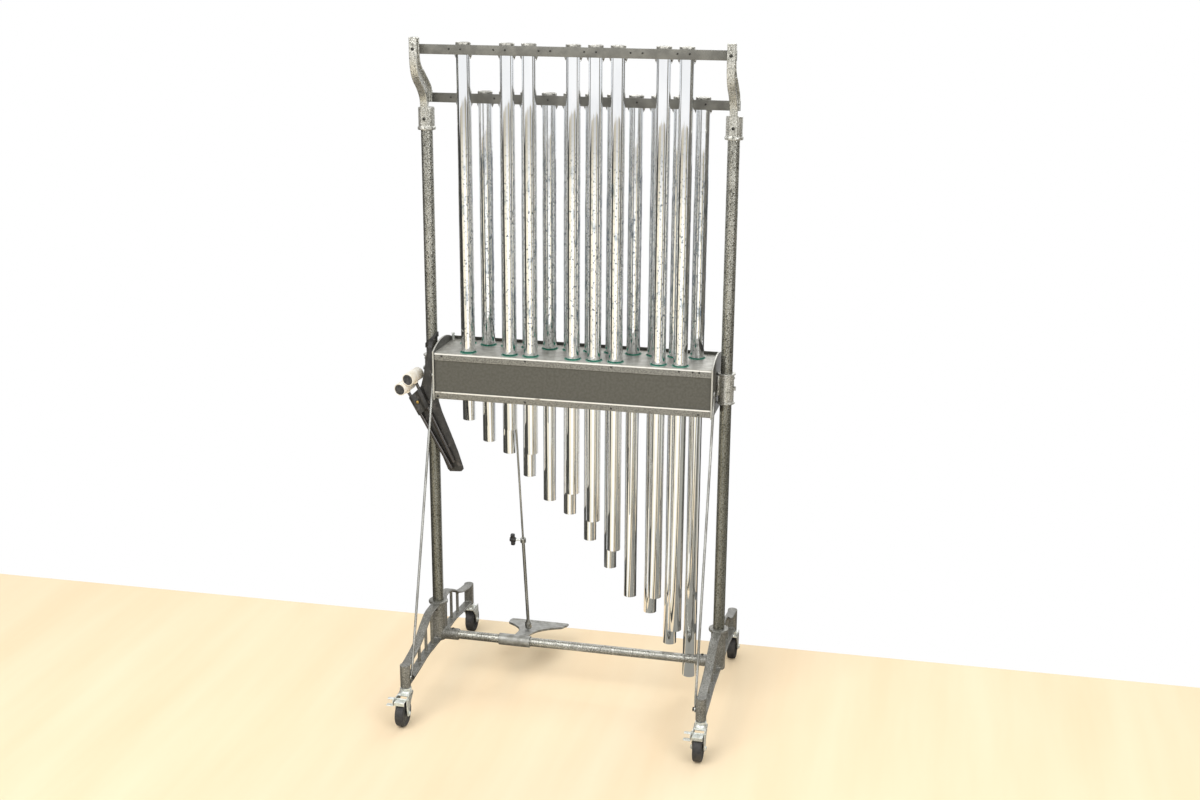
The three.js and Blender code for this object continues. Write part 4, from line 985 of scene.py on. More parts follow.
@dataclass
class Rails:
    """The two flat rails with their pegs and screws."""

    stance: Stance
    half_length: float = 424.5
    height: float = 25.0
    thickness: float = 6.0
    upper_front: float = -70.0
    upper_top: float = 1831.5
    lower_front: float = 26.0
    lower_top: float = 1699.5
    screw_drop: float = 11.0
    first_pair: float = -325.0
    pair_pitch: float = 120.0
    pair_gap: float = 31.0
    lower_screws: tuple[float, ...] = (-353.5, -232.8, -86.1, 153.4, 334.2)
    screw_radius: float = 2.6
    screw_height: float = 1.2

    def rail(self, name: str, front: float, top: float, row_y: float, notes: list[str],
             screws: Iterable[float]) -> None:
        """Builds one rail with two pegs behind it for each of its tubes.

        Args:
            name: the rail's name.
            front: its front face in Y.
            top: its top edge in Z.
            row_y: the row of its tubes in Y.
            notes: the nodes of its tubes.
            screws: the places of its screws in X.
        """
        outline = rounded_rectangle(front, front + self.thickness, top - self.height, top, 0.9)
        bar = slab(outline, -self.half_length, self.half_length, Plane.YZ, 0.6)
        add_piece(f"{name}_bar", [bar], RAIL_PAINT, STAND, [name])
        pegs = []
        for node in notes:
            middle, _, _, high = tube_place(node)
            level = high - self.stance.peg_drop
            pegs += [rod((middle + way * self.stance.peg_offset, front + self.thickness / 2, level),
                         (middle + way * self.stance.peg_offset, row_y + self.stance.peg_past, level),
                         self.stance.peg_radius, 0.8, 20) for way in (-1, 1)]
        add_piece(f"{name}_pegs", pegs, ZINC)
        heads = [screw_head((x, front - 0.1, top - self.screw_drop), (0, -1, 0), self.screw_radius,
                            self.screw_height) for x in screws]
        add_piece(f"{name}_screws", heads, DARK_SCREW)

    def build(self) -> None:
        """Builds both rails."""
        sharps = [node for node in TUBES if node.endswith("_sharp")]
        naturals = [node for node in TUBES if not node.endswith("_sharp")]
        pairs = (self.first_pair + n * self.pair_pitch for n in range(6))
        upper = [x + way for x in pairs for way in (0.0, self.pair_gap)]
        self.rail("rail_upper", self.upper_front, self.upper_top, self.stance.sharp_y, sharps, upper)
        self.rail("rail_lower", self.lower_front, self.lower_top, self.stance.natural_y, naturals,
                  self.lower_screws)


@dataclass
class Stand:
    """Posts, leg castings, crossbar, top brackets and stay rods."""

    stance: Stance
    post_wall: float = 2.0
    post_foot: float = 125.3
    crossbar_radius: float = 12.7
    crossbar_half: float = 389.7
    barrel_radius: float = 21.0
    barrel_bottom: float = 118.0
    collar_radius: float = 28.0
    collar_height: float = 9.0
    flange_width: float = 25.0
    flange_sheets: tuple[float, float] = (6.0, 7.0)
    boss_radius: float = 14.5
    boss_top: float = 170.0
    stem_bore: float = 6.0
    cross_boss_radius: float = 17.0
    cross_boss_reach: float = 62.0
    rib_radius: float = 4.5
    rib_shares: tuple[float, ...] = (0.22, 0.4, 0.6)
    upper_shares: tuple[Point, ...] = (
        (0, 0.95), (0.27, 0.96), (0.44, 0.82), (0.6, 0.64), (0.77, 0.53), (1, 0.45))
    lower_shares: tuple[Point, ...] = ((0, 0.13), (0.22, 0.145), (0.46, 0.15), (0.7, 0.09), (1, 0.04))
    leg_grid: float = 1.6
    bracket_grid: float = 1.2
    smoothing: int = 3
    set_screw_in: float = 44.0
    set_screw_drop: float = 24.0
    set_screw_radius: float = 4.0
    set_screw_height: float = 3.0
    sleeve_low: float = 1604.0
    sleeve_high: float = 1664.0
    sleeve_radius: float = 22.0
    sleeve_ring: float = 24.5
    bracket_width: float = 21.0
    bracket_sheet: float = 5.0
    arm_top: float = 1850.0
    arm_rear: float = -72.8
    arm_front: float = -94.8
    arm_foot: float = -19.0
    shoulder_y: float = 18.0
    shoulder_low: float = 1676.0
    shoulder_high: float = 1712.0
    front_shares: tuple[Point, ...] = ((0.074, 0.15), (0.362, 0.29), (0.693, 0.4), (0.902, 0.52), (1, 0.7))
    rear_shares: tuple[Point, ...] = ((0.205, 0.36), (0.549, 0.49), (0.898, 0.62), (1, 0.77))
    lightenings: tuple[Point, ...] = ((0.58, 0.56), (0.3, 0.36))
    lightening_radius: float = 5.0
    screw_hole_radius: float = 4.5
    arm_screw: float = 1820.0
    sleeve_screw: float = 1634.0
    stay_radius: float = 3.5
    stay_eye: float = 8.0
    stay_eye_sheet: float = 4.0
    stay_flat: float = 26.0
    stay_pressed: tuple[float, float] = (0.45, 0.9)
    box_end_x: float = 389.3
    stay_top: tuple[float, float] = (-62.0, 940.0)
    stay_foot: tuple[float, float] = (-289.0, 132.0)

    def pipe(self, radius: float, low: Point, high: Point) -> Shell:
        """A round pipe with rounded mouths.

        Args:
            radius: its outer radius.
            low: the middle of one mouth.
            high: the middle of the other mouth.

        Returns:
            The closed shape.
        """
        length = float(np.linalg.norm(np.subtract(high, low)))
        bore = radius - self.post_wall
        return turned([(radius, 0.5), (radius, length - 0.5), (radius - 0.5, length), (bore + 0.5, length),
                       (bore, length - 0.5), (bore, 0.5), (bore + 0.5, 0), (radius - 0.5, 0)],
                      low, np.subtract(high, low), 64)

    def strip(self, line: np.ndarray, thickness: float, width: float) -> Shell:
        """A flange that follows a line.

        Args:
            line: places in Y and Z.
            thickness: its thickness, square to the line.
            width: its width in X.

        Returns:
            The closed shape.
        """
        section = rounded_rectangle(-width / 2, width / 2, -thickness / 2, thickness / 2, 1.2, 2)
        path = np.concatenate([np.zeros((len(line), 1)), line], axis=1)
        return swept(section, path, (1, 0, 0))

    def leg(self, side: Side) -> None:
        """Casts one leg: post socket, two open arms on ribs, end bosses and the crossbar's boss.

        Args:
            side: the end of the bells that it stands at.
        """
        under, top, reach = self.stance.leg_underside, self.stance.barrel_top, self.stance.leg_reach
        level = self.stance.crossbar_height
        lines = [spline([(y * reach, under + z * (top - under)) for y, z in shares])
                 for shares in (self.upper_shares, self.lower_shares)]
        shells = [
            rod((0, 0, self.barrel_bottom), (0, 0, top), self.barrel_radius, 1, 48),
            rod((0, 0, top - self.collar_height), (0, 0, top), self.collar_radius, 2, 48),
            rod((0, 0, level), (-side.sign * self.cross_boss_reach, 0, level),
                self.cross_boss_radius, 2, 48),
        ]
        for way in (-1, 1):
            y = way * reach
            bore = self.stem_bore
            shells.append(turned([(bore, under), (self.boss_radius, under),
                                  (self.boss_radius, self.boss_top), (bore, self.boss_top)],
                                 (0, y, 0), sides=48))
            shells.append(rod((0, y, self.boss_top - 12), (0, y, self.boss_top), self.boss_radius, 3, 48))
            for line, thickness in zip(lines, self.flange_sheets):
                kept = line[line[:, 0] < reach - bore - 2] * np.array([way, 1])
                shells.append(self.strip(kept, thickness, self.flange_width))
            for share in self.rib_shares:
                rib_y = way * share * reach
                low, high = (float(np.interp(share * reach, line[:, 0], line[:, 1]))
                             for line in lines[::-1])
                shells.append(rod((0, rib_y, low), (0, rib_y, high), self.rib_radius))
        at = (side.sign * self.stance.post_x, 0, 0)
        casting = cast(f"leg_casting_{side.label}", [s.moved(at) for s in shells], self.leg_grid,
                       self.smoothing)
        add_piece(f"leg_casting_{side.label}", casting, DARK_ENAMEL, STAND, [f"leg_{side.label}"])
        screws = [screw_head(foot, way, self.set_screw_radius, self.set_screw_height) for foot, way in (
            ((-side.sign * self.set_screw_in, 0, level + self.cross_boss_radius - 0.4), (0, 0, 1)),
            ((0, -self.barrel_radius + 0.4, top - self.set_screw_drop), (0, -1, 0)))]
        add_piece(f"leg_set_screws_{side.label}", [s.moved(at) for s in screws], DARK_SCREW)

    def bracket(self, side: Side) -> None:
        """Casts one top bracket: a sleeve on the post and a curved arm of I section.

        Args:
            side: the post that it sits on.
        """
        sheet, half = self.bracket_sheet, self.bracket_width / 2

        def between(from_y: float, to_y: float, shares: Sequence[Point]) -> list[Point]:
            """Places from shares of the way forward and up."""
            return [(from_y + y * (to_y - from_y), self.sleeve_high + z * (self.arm_top - self.sleeve_high))
                    for y, z in shares]

        end = self.arm_top - sheet / 2
        front = spline([(self.arm_foot, self.sleeve_low + 8), (self.arm_foot, self.sleeve_high),
                        *between(self.arm_foot, self.arm_front, self.front_shares), (self.arm_front, end)])
        rear = spline([(self.shoulder_y, self.shoulder_low), (self.shoulder_y, self.shoulder_high),
                       *between(self.shoulder_y, self.arm_rear, self.rear_shares), (self.arm_rear, end)])
        web = np.concatenate([rear, front[::-1]])
        shells = [
            self.strip(front, sheet, self.bracket_width), self.strip(rear, sheet, self.bracket_width),
            slab(web, -sheet / 2, sheet / 2, Plane.YZ, 0.3),
            block((-half, self.arm_front - sheet / 2, self.arm_top - sheet),
                  (half, self.arm_rear + sheet / 2, self.arm_top), 1),
            block((-half, self.shoulder_y, self.shoulder_low),
                  (half, self.shoulder_y + 7.7, self.shoulder_high - sheet), 0.6),
            rod((0, 0, self.sleeve_low), (0, 0, self.sleeve_high), self.sleeve_radius, 1.5, 48),
            rod((0, 0, self.sleeve_low), (0, 0, self.sleeve_low + 8), self.sleeve_ring, 1.2, 48),
        ]
        at = (side.sign * self.stance.post_x, 0, 0)
        name = f"top_bracket_casting_{side.label}"
        casting = cast(name, [s.moved(at) for s in shells], self.bracket_grid, self.smoothing)
        arm, low = self.arm_screw, self.sleeve_screw
        holes = [rod((-30, y, z), (30, y, z), self.lightening_radius)
                 for y, z in between(self.shoulder_y, self.arm_front, self.lightenings)]
        holes += [rod((0, self.arm_front - 9, arm), (0, self.arm_front + 1, arm), self.screw_hole_radius),
                  rod((0, -self.sleeve_radius - 9, low), (0, -self.sleeve_radius + 3, low),
                      self.screw_hole_radius)]
        casting = cut(name, casting, [s.moved(at) for s in holes])
        add_piece(name, casting, LIT_ENAMEL, STAND, [f"top_bracket_{side.label}"])
        screws = [screw_head((0, self.arm_front - 1, arm), (0, -1, 0), 3.6, 1.6),
                  screw_head((0, -self.sleeve_radius + 1.5, low), (0, -1, 0), 3.8, 1.6)]
        add_piece(f"top_bracket_screws_{side.label}", [s.moved(at) for s in screws], DARK_SCREW)

    def stay(self, side: Side) -> None:
        """Bends one stay: a round rod, pressed flat at both ends, with an eye and a bolt at each.

        Args:
            side: the end of the bells that it braces.
        """
        thin = self.stay_eye_sheet / 2
        top = np.array([side.sign * (self.box_end_x + thin), *self.stay_top])
        foot_x = self.stance.post_x - self.boss_radius - self.stance.clearance - thin
        foot = np.array([side.sign * foot_x, *self.stay_foot])
        share = np.linspace(0, 1, 81)
        path = top + share[:, None] * (foot - top)
        near = np.minimum(share, 1 - share) * float(np.linalg.norm(foot - top))
        toward = np.clip(1 - near / self.stay_flat, 0, 1)
        flat = toward ** 2 * (3 - 2 * toward)
        thinner, wider = self.stay_pressed
        scale = np.stack([1 - thinner * flat, 1 + wider * flat], axis=1)
        shank = swept(circle(self.stay_radius, 20), path, (1, 0, 0), scale=scale)
        eyes = [rod(end - np.array([thin, 0, 0]), end + np.array([thin, 0, 0]), self.stay_eye, 0.8)
                for end in (top, foot)]
        add_piece(f"stay_bent_{side.label}", [shank, *eyes], STEEL, STAND, [f"stay_rod_{side.label}"])
        outwards = (side.sign, 0, 0)
        head = top + np.array([side.sign * thin, 0, 0])
        nut = foot - np.array([side.sign * thin, 0, 0])
        bolts = [hexagon(6.4, 4.5, head, outwards), hexagon(6.4, 4.5, nut, (-side.sign, 0, 0))]
        add_piece(f"stay_bolts_{side.label}", bolts, DARK_SCREW)

    def build(self) -> None:
        """Builds the stand from the legs up."""
        for side in Side:
            self.leg(side)
            x = side.sign * self.stance.post_x
            post = self.pipe(self.stance.post_radius, (x, 0, self.post_foot), (x, 0, self.stance.post_top))
            add_piece(f"post_tube_{side.label}", [post], ENAMEL, STAND, [f"post_{side.label}"])
            self.bracket(side)
            self.stay(side)
        level, half = self.stance.crossbar_height, self.crossbar_half
        bar = self.pipe(self.crossbar_radius, (-half, 0, level), (half, 0, level))
        add_piece("crossbar_tube", [bar], BAR_ENAMEL, STAND, ["crossbar"])


@dataclass
class DamperBox:
    """The box that the tubes pass through: folded plates, end plates, clamps, felts and screws."""

    stance: Stance
    inside: float = 383.7
    front: float = -73.0
    rear: float = 97.0
    bottom: float = 876.0
    top: float = 1007.0
    lip: float = 21.0
    sheet: float = 3.0
    bend: float = 2.5
    hole_radius: float = 22.3
    felt_inner: float = 20.8
    felt_outer: float = 23.4
    end_inner: float = 384.0
    end_outer: float = 389.0
    end_margin: float = 3.0
    arch: float = 22.0
    pillar: tuple[float, float, float] = (-160.0, 5.0, 5.0)
    slot: tuple[float, float, float, float] = (-191.0, -173.0, -3.0, 33.0)
    stud: tuple[float, float] = (-377.0, 77.0)
    clamp_radius: float = 21.0
    clamp_low: float = 900.0
    clamp_high: float = 984.0
    clamp_flange: float = 24.5
    lug_end: float = 16.5
    lug_half: float = 18.0
    upper_screws: tuple[float, ...] = (-362.6, -125.4, 112.8, 297.2, 333.9, 351.5)
    lower_screws: tuple[float, ...] = (-375.3, -126.2, 113.8, 351.2)
    screw_radius: float = 2.9
    screw_height: float = 1.6

    def holes(self) -> list[tuple[float, float]]:
        """The axis of each tube."""
        return [tube_place(node)[:2] for node in TUBES]

    def folded(self, face: float, inner: float, lip_end: float) -> Shell:
        """A folded plate: a flat sheet with a lip along the front and the rear edge. The section
        in YZ, with rounded bends, is carried along X.

        Args:
            face: the outer face in Z.
            inner: the inner face in Z.
            lip_end: the free edge of the lips in Z.

        Returns:
            The closed shape.
        """
        way = 1.0 if face > lip_end else -1.0
        bend, level = self.bend, face - way * self.bend
        outer = [(self.front, lip_end), *arc((self.front + bend, level), bend, 180, 180 - way * 90, 4),
                 *arc((self.rear - bend, level), bend, way * 90, 0, 4), (self.rear, lip_end)]
        within = [(self.rear - self.sheet, lip_end), (self.rear - self.sheet, inner),
                  (self.front + self.sheet, inner), (self.front + self.sheet, lip_end)]
        return slab(np.array([*outer, *within]), -self.inside, self.inside, Plane.YZ, 0.3)

    def plates(self) -> None:
        """Folds and punches the top and the bottom plate."""
        punches = [rod((x, y, self.bottom - 9), (x, y, self.top + 9), self.hole_radius, 0.5, 48)
                   for x, y in self.holes()]
        top = self.folded(self.top, self.top - self.sheet, self.top - self.lip)
        mesh = cut("damper_box_top", mesh_of("damper_box_top", [top]), punches)
        add_piece("damper_box_top", mesh, PLATE, STAND, ["box_top_plate"])
        bottom = self.folded(self.bottom, self.bottom + self.sheet, self.bottom + self.lip)
        x0, x1, y0, y1 = self.slot
        slot = block((x0, y0, self.bottom - 9), (x1, y1, self.bottom + 9), 2)
        mesh = cut("damper_box_bottom", mesh_of("damper_box_bottom", [bottom]), [*punches, slot])
        add_piece("damper_box_bottom", mesh, PLATE, STAND, ["box_bottom_plate"])
        x, y, radius = self.pillar
        pillar = rod((x, y, self.bottom), (x, y, self.top - self.sheet - self.stance.clearance), radius)
        add_piece("damper_guide_pillar", [pillar], ZINC)

    def ends(self, side: Side) -> None:
        """Cuts an end plate with an arched top edge, and its clamp on the post. At share s of
        the way from the middle to a corner, the arch stands arch (1 - s^2) over the corner.

        Args:
            side: the end of the box.
        """
        margin = self.end_margin
        low, front, rear = self.bottom - margin, self.front - margin, self.rear + margin
        share = np.linspace(1, -1, 33)
        arch = np.stack([(front + rear) / 2 + (rear - front) / 2 * share,
                         self.top + margin + self.arch * (1 - share**2)], axis=1)
        outline = np.concatenate([[(front, low), (rear, low)], arch])
        near, far = sorted((side.sign * self.end_inner, side.sign * self.end_outer))
        add_piece(f"damper_box_end_{side.label}", [slab(outline, near, far, Plane.YZ, 1)], END_EDGE, STAND,
                  [f"box_end_{side.label}"])
        x, bore = side.sign * self.stance.post_x, self.stance.post_radius + self.stance.clearance
        low, high = self.clamp_low, self.clamp_high
        r, flange = self.clamp_radius, self.clamp_flange
        sleeve = turned([(bore, low), (flange - 0.8, low), (flange, low + 0.8), (flange, low + 3.2),
                         (flange - 0.8, low + 4), (r + 1, low + 4), (r, low + 5), (r, high - 5),
                         (r + 1, high - 4), (flange - 0.8, high - 4), (flange, high - 3.2),
                         (flange, high - 0.8), (flange - 0.8, high), (bore, high)], (x, 0, 0), sides=64)
        start, end = sorted((side.sign * (self.end_outer + self.stance.clearance),
                             side.sign * (self.stance.post_x - self.lug_end)))
        lugs = [block((start, y0, low + 25), (end, y1, high - 4), 1.2)
                for y0, y1 in ((-self.lug_half, -9), (9, self.lug_half))]
        bridge = block((start, -self.lug_half, low + 25),
                       (start + (end - start) * 0.55, self.lug_half, high - 4), 1)
        add_piece(f"damper_box_clamp_{side.label}", [sleeve, *lugs, bridge], LIT_ENAMEL, STAND,
                  [f"box_clamp_{side.label}"])
        middle = (low + high) / 2
        bolts = [hexagon(6.2, 5.5, (x + side.sign * (r - 0.6), 0, middle), (side.sign, 0, 0)),
                 screw_head((x + side.sign * (r - 0.6), 0, high - 13), (side.sign, 0, 0), 3.6, 2.4)]
        add_piece(f"damper_box_clamp_bolts_{side.label}", bolts, BRIGHT_SCREW)

    def trim(self) -> None:
        """Adds the felts in the holes, the screws of the lips and the stud."""
        inner, outer, top = self.felt_inner, self.felt_outer, self.top
        rings = []
        for x, y in self.holes():
            rings.append(turned([(inner, top - 2.6), (inner, top + 0.6), (inner + 0.7, top + 1.3),
                                 (outer - 0.9, top + 1.3), (outer, top + 0.5), (outer, top + 0.02),
                                 (self.hole_radius - 0.1, top), (self.hole_radius - 0.1, top - 2.6)],
                                (x, y, 0), sides=48))
        add_piece("hole_felts", rings, FELT)
        heads = [screw_head((x, self.front + 0.1, z), (0, -1, 0), self.screw_radius, self.screw_height)
                 for places, z in ((self.upper_screws, top - 8), (self.lower_screws, self.bottom + 7))
                 for x in places]
        heads += [screw_head((-head.points[:, 0].mean(), self.rear - 0.1, head.points[:, 2].mean()),
                             (0, 1, 0), self.screw_radius, self.screw_height) for head in list(heads)]
        add_piece("damper_box_screws", heads, DARK_SCREW)
        x, y = self.stud
        stud = turned([
            (0, top - 7), (4, top - 7), (4, top - 3.2), (3, top - 3), (3, top + 0.3), (4.5, top + 0.4),
            (4.5, top + 15), (3.4, top + 16), (3.4, top + 17.5), (4.5, top + 18.5), (4.5, top + 21),
            (3.6, top + 22), (0, top + 22),
        ], (x, y, 0), sides=32)
        add_piece("damper_box_stud", [stud], ZINC, STAND, ["box_top_stud"])

    def build(self) -> None:
        """Builds the box and dresses the panels, boards and crosshead that keep their shapes."""
        self.plates()
        for side in Side:
            self.ends(side)
        self.trim()
        for node, finish in (("box_front_panel", PANEL), ("box_rear_panel", PANEL),
                             ("damper_board_front", BOARD_FELT), ("damper_board_rear", BOARD_FELT),
                             ("damper_crosshead", PEDAL_METAL)):
            dress_node(node, finish)


@dataclass
class PedalWork:
    """The pedal on the crossbar, the pull rod in two halves, and the wing knob of its clamp."""

    stance: Stance
    x: float = -182.0
    tilt: float = 13.6
    sleeve_half: float = 47.0
    sleeve_radius: float = 17.0
    sleeve_bore: float = 13.1
    reach: float = 298.0
    half_width: float = 91.0
    thickness: float = 7.0
    bar_depth: float = 34.0
    neck: float = 20.0
    flare: tuple[Point, ...] = ((0.3, 1), (0.5, 1.25), (0.66, 1.9), (0.8, 3.1), (0.89, 4.2))
    ball: tuple[float, float] = (150.0, 12.0)
    ball_radius: float = 6.5
    pin: tuple[float, float] = (5.0, 930.0)
    rod_radius: float = 3.0
    tube_radius: float = 4.75
    clamp_drop: float = 520.0
    clamp_height: float = 14.0
    clamp_radius: float = 8.5
    overlap: float = 60.0
    cup_radius: float = 10.0
    ridges: int = 4
    ridge_pitch: float = 6.5
    ridge_radius: float = 1.5
    casting_grid: float = 1.4
    smoothing: int = 2
    wing_reach: tuple[float, float] = (-37.0, -25.0)
    wing_half: float = 19.0
    wing_waist: float = 5.0
    wing_flare: float = 2.0

    def pedal(self) -> None:
        """Casts the pedal: a hinge sleeve and a neck that flares to a ridged foot bar."""
        start, half = self.reach - self.bar_depth, self.thickness / 2
        curve = spline([(self.neck, 0), *((self.neck * n, start * r) for r, n in self.flare),
                        (self.half_width - 3, start)], 6)
        right = np.concatenate([curve, [(self.half_width, start + 3), (self.half_width, self.reach - 4),
                                        (self.half_width - 4, self.reach)]])
        outline = np.concatenate([right, (right * np.array([-1, 1]))[::-1]])
        bore, radius = self.sleeve_bore, self.sleeve_radius
        sleeve = turned([(bore, -self.sleeve_half), (radius, -self.sleeve_half), (radius, self.sleeve_half),
                         (bore, self.sleeve_half)], (0, 0, 0), (1, 0, 0), 64)
        body = slab(outline[np.abs(outline[:, 1]) > -1], -half, half, Plane.XY, 1.5)
        body.points[:, 1] = np.maximum(body.points[:, 1], bore + 1.5)
        rib = block((-half, radius - 2, -self.thickness), (half, start, 0), 1.5)
        across = self.half_width - 9
        levels = [start + 7 + self.ridge_pitch * n for n in range(self.ridges)]
        ridges = [rod((-across, y, half), (across, y, half), self.ridge_radius, 0.6, 12) for y in levels]
        turn = turn_about("X", -self.tilt)
        at = (self.x, 0, self.stance.crossbar_height)
        shells = [s.moved(at, turn) for s in (sleeve, body, rib, *ridges)]
        casting = cast("pedal_casting", shells, self.casting_grid, self.smoothing)
        add_piece("pedal_casting", casting, PEDAL_METAL, "pedal", ["pedal"])
        y, z = self.ball
        ball = arc((0, z), self.ball_radius, -90, 90, 16)
        stud = [turned([(0, z - self.ball_radius), *ball[1:-1], (0, z + self.ball_radius)],
                       (0, y, 0), sides=32),
                rod((0, y, 0), (0, y, z), 3.5)]
        add_piece("pedal_ball_stud", [s.moved(at, turn) for s in stud], ZINC, "pedal")

    def line(self) -> tuple[np.ndarray, np.ndarray, float]:
        """Finds the line of the pull rod, from its pin to the ball on the tilted pedal.

        Returns:
            Its top, its direction, and its length to the ball.
        """
        tilt = math.radians(self.tilt)
        reach, height = self.ball
        ball = np.array([self.x, reach * math.cos(tilt) + height * math.sin(tilt),
                         self.stance.crossbar_height - reach * math.sin(tilt) + height * math.cos(tilt)])
        top = np.array([self.x, *self.pin])
        length = float(np.linalg.norm(ball - top))
        return top, (ball - top) / length, length

    def pull_rod(self) -> None:
        """Turns the two halves of the pull rod and their clamp."""
        top, way, length = self.line()
        eye = turned([(3.3, -4), (6.4, -4), (7, -3.2), (7, 3.2), (6.4, 4), (3.3, 4)], top, (1, 0, 0), 32)
        shank = rod(top + 5.5 * way, top + (self.clamp_drop + self.overlap) * way, self.rod_radius, 0.5, 24)
        add_piece("pull_rod_steel_upper", [eye, shank], STEEL, "damper_rod", ["pull_rod_upper"])
        drop, radius, cup = self.clamp_drop, self.clamp_radius, self.cup_radius
        bore = self.ball_radius + 0.8
        roof = length - bore
        tube, inner = self.tube_radius, 3.4
        lower = turned([
            (inner, drop), (radius - 1, drop), (radius, drop + 1), (radius, drop + self.clamp_height - 1),
            (radius - 1, drop + self.clamp_height), (tube, drop + self.clamp_height + 0.5),
            (tube, roof - cup - 8), (cup - 2, roof - cup), (cup, roof - cup + 3), (cup, length + 2.2),
            (cup - 0.8, length + 3), (bore, length + 3), (bore, roof), (inner, roof - 1),
        ], top, way, 40)
        add_piece("pull_rod_steel_lower", [lower], STEEL, "damper_rod", ["pull_rod_lower"])

    def knob(self) -> None:
        """Moulds the wing knob: a hub with two rounded wings on a steel shaft. At height h, from
        -1 to 1, half a wing's width is (waist + flare |h|^1.5) sqrt(1 - |h|^9)."""
        top, way, _ = self.line()
        centre = top + (self.clamp_drop + self.clamp_height / 2) * way
        lean = math.degrees(math.atan2(way[1], -way[2]))
        turn = turn_about("X", lean)
        height = np.linspace(-1, 1, 41)
        half = self.wing_waist + self.wing_flare * np.abs(height) ** 1.5
        half *= np.sqrt(np.clip(1 - np.abs(height) ** 9, 0, 1))
        wing = np.stack([half, self.wing_half * height], axis=1)
        wings = np.concatenate([wing, (wing[1:-1] * np.array([-1, 1]))[::-1]])
        body = [slab(wings, *self.wing_reach, Plane.YZ, 3.2), rod((-22, 0, 0), (-40, 0, 0), 7, 1.8, 40)]
        add_piece("clamp_knob_moulding", [s.moved(centre, turn) for s in body], KNOB, "clamp_knob",
                  ["clamp_knob"])
        shaft = rod((-3.3, 0, 0), (-23, 0, 0), 2.5, 0.4, 20)
        add_piece("clamp_knob_shaft", [shaft.moved(centre, turn)], ZINC, "clamp_knob")

    def build(self) -> None:
        """Builds the pedal, the rod and the knob."""
        self.pedal()
        self.pull_rod()
        self.knob()


class CasterPlace(Enum):
    """Where each caster stands: its name, its side, and whether it is at the audience's side."""

    FRONT_LEFT = ("front_left", -1, True)
    FRONT_RIGHT = ("front_right", 1, True)
    REAR_LEFT = ("rear_left", -1, False)
    REAR_RIGHT = ("rear_right", 1, False)

    @property
    def label(self) -> str:
        """The words for this caster in a node's name."""
        return self.value[0]

    @property
    def front(self) -> bool:
        """Whether it is at the audience's side."""
        return self.value[2]

    def set(self, shells: Iterable[Shell], stance: Stance) -> list[Shell]:
        """Puts a caster's shells in its place.

        Args:
            shells: shells made about the stem's line, with the wheel behind it towards -Y.
            stance: the sizes that the bells share.

        Returns:
            The shells about the stem of this caster.
        """
        turn = turn_about("Z", 0 if self.front else 180)
        at = (self.value[1] * stance.post_x, (-1 if self.front else 1) * stance.leg_reach, 0)
        return [shell.moved(at, turn) for shell in shells]


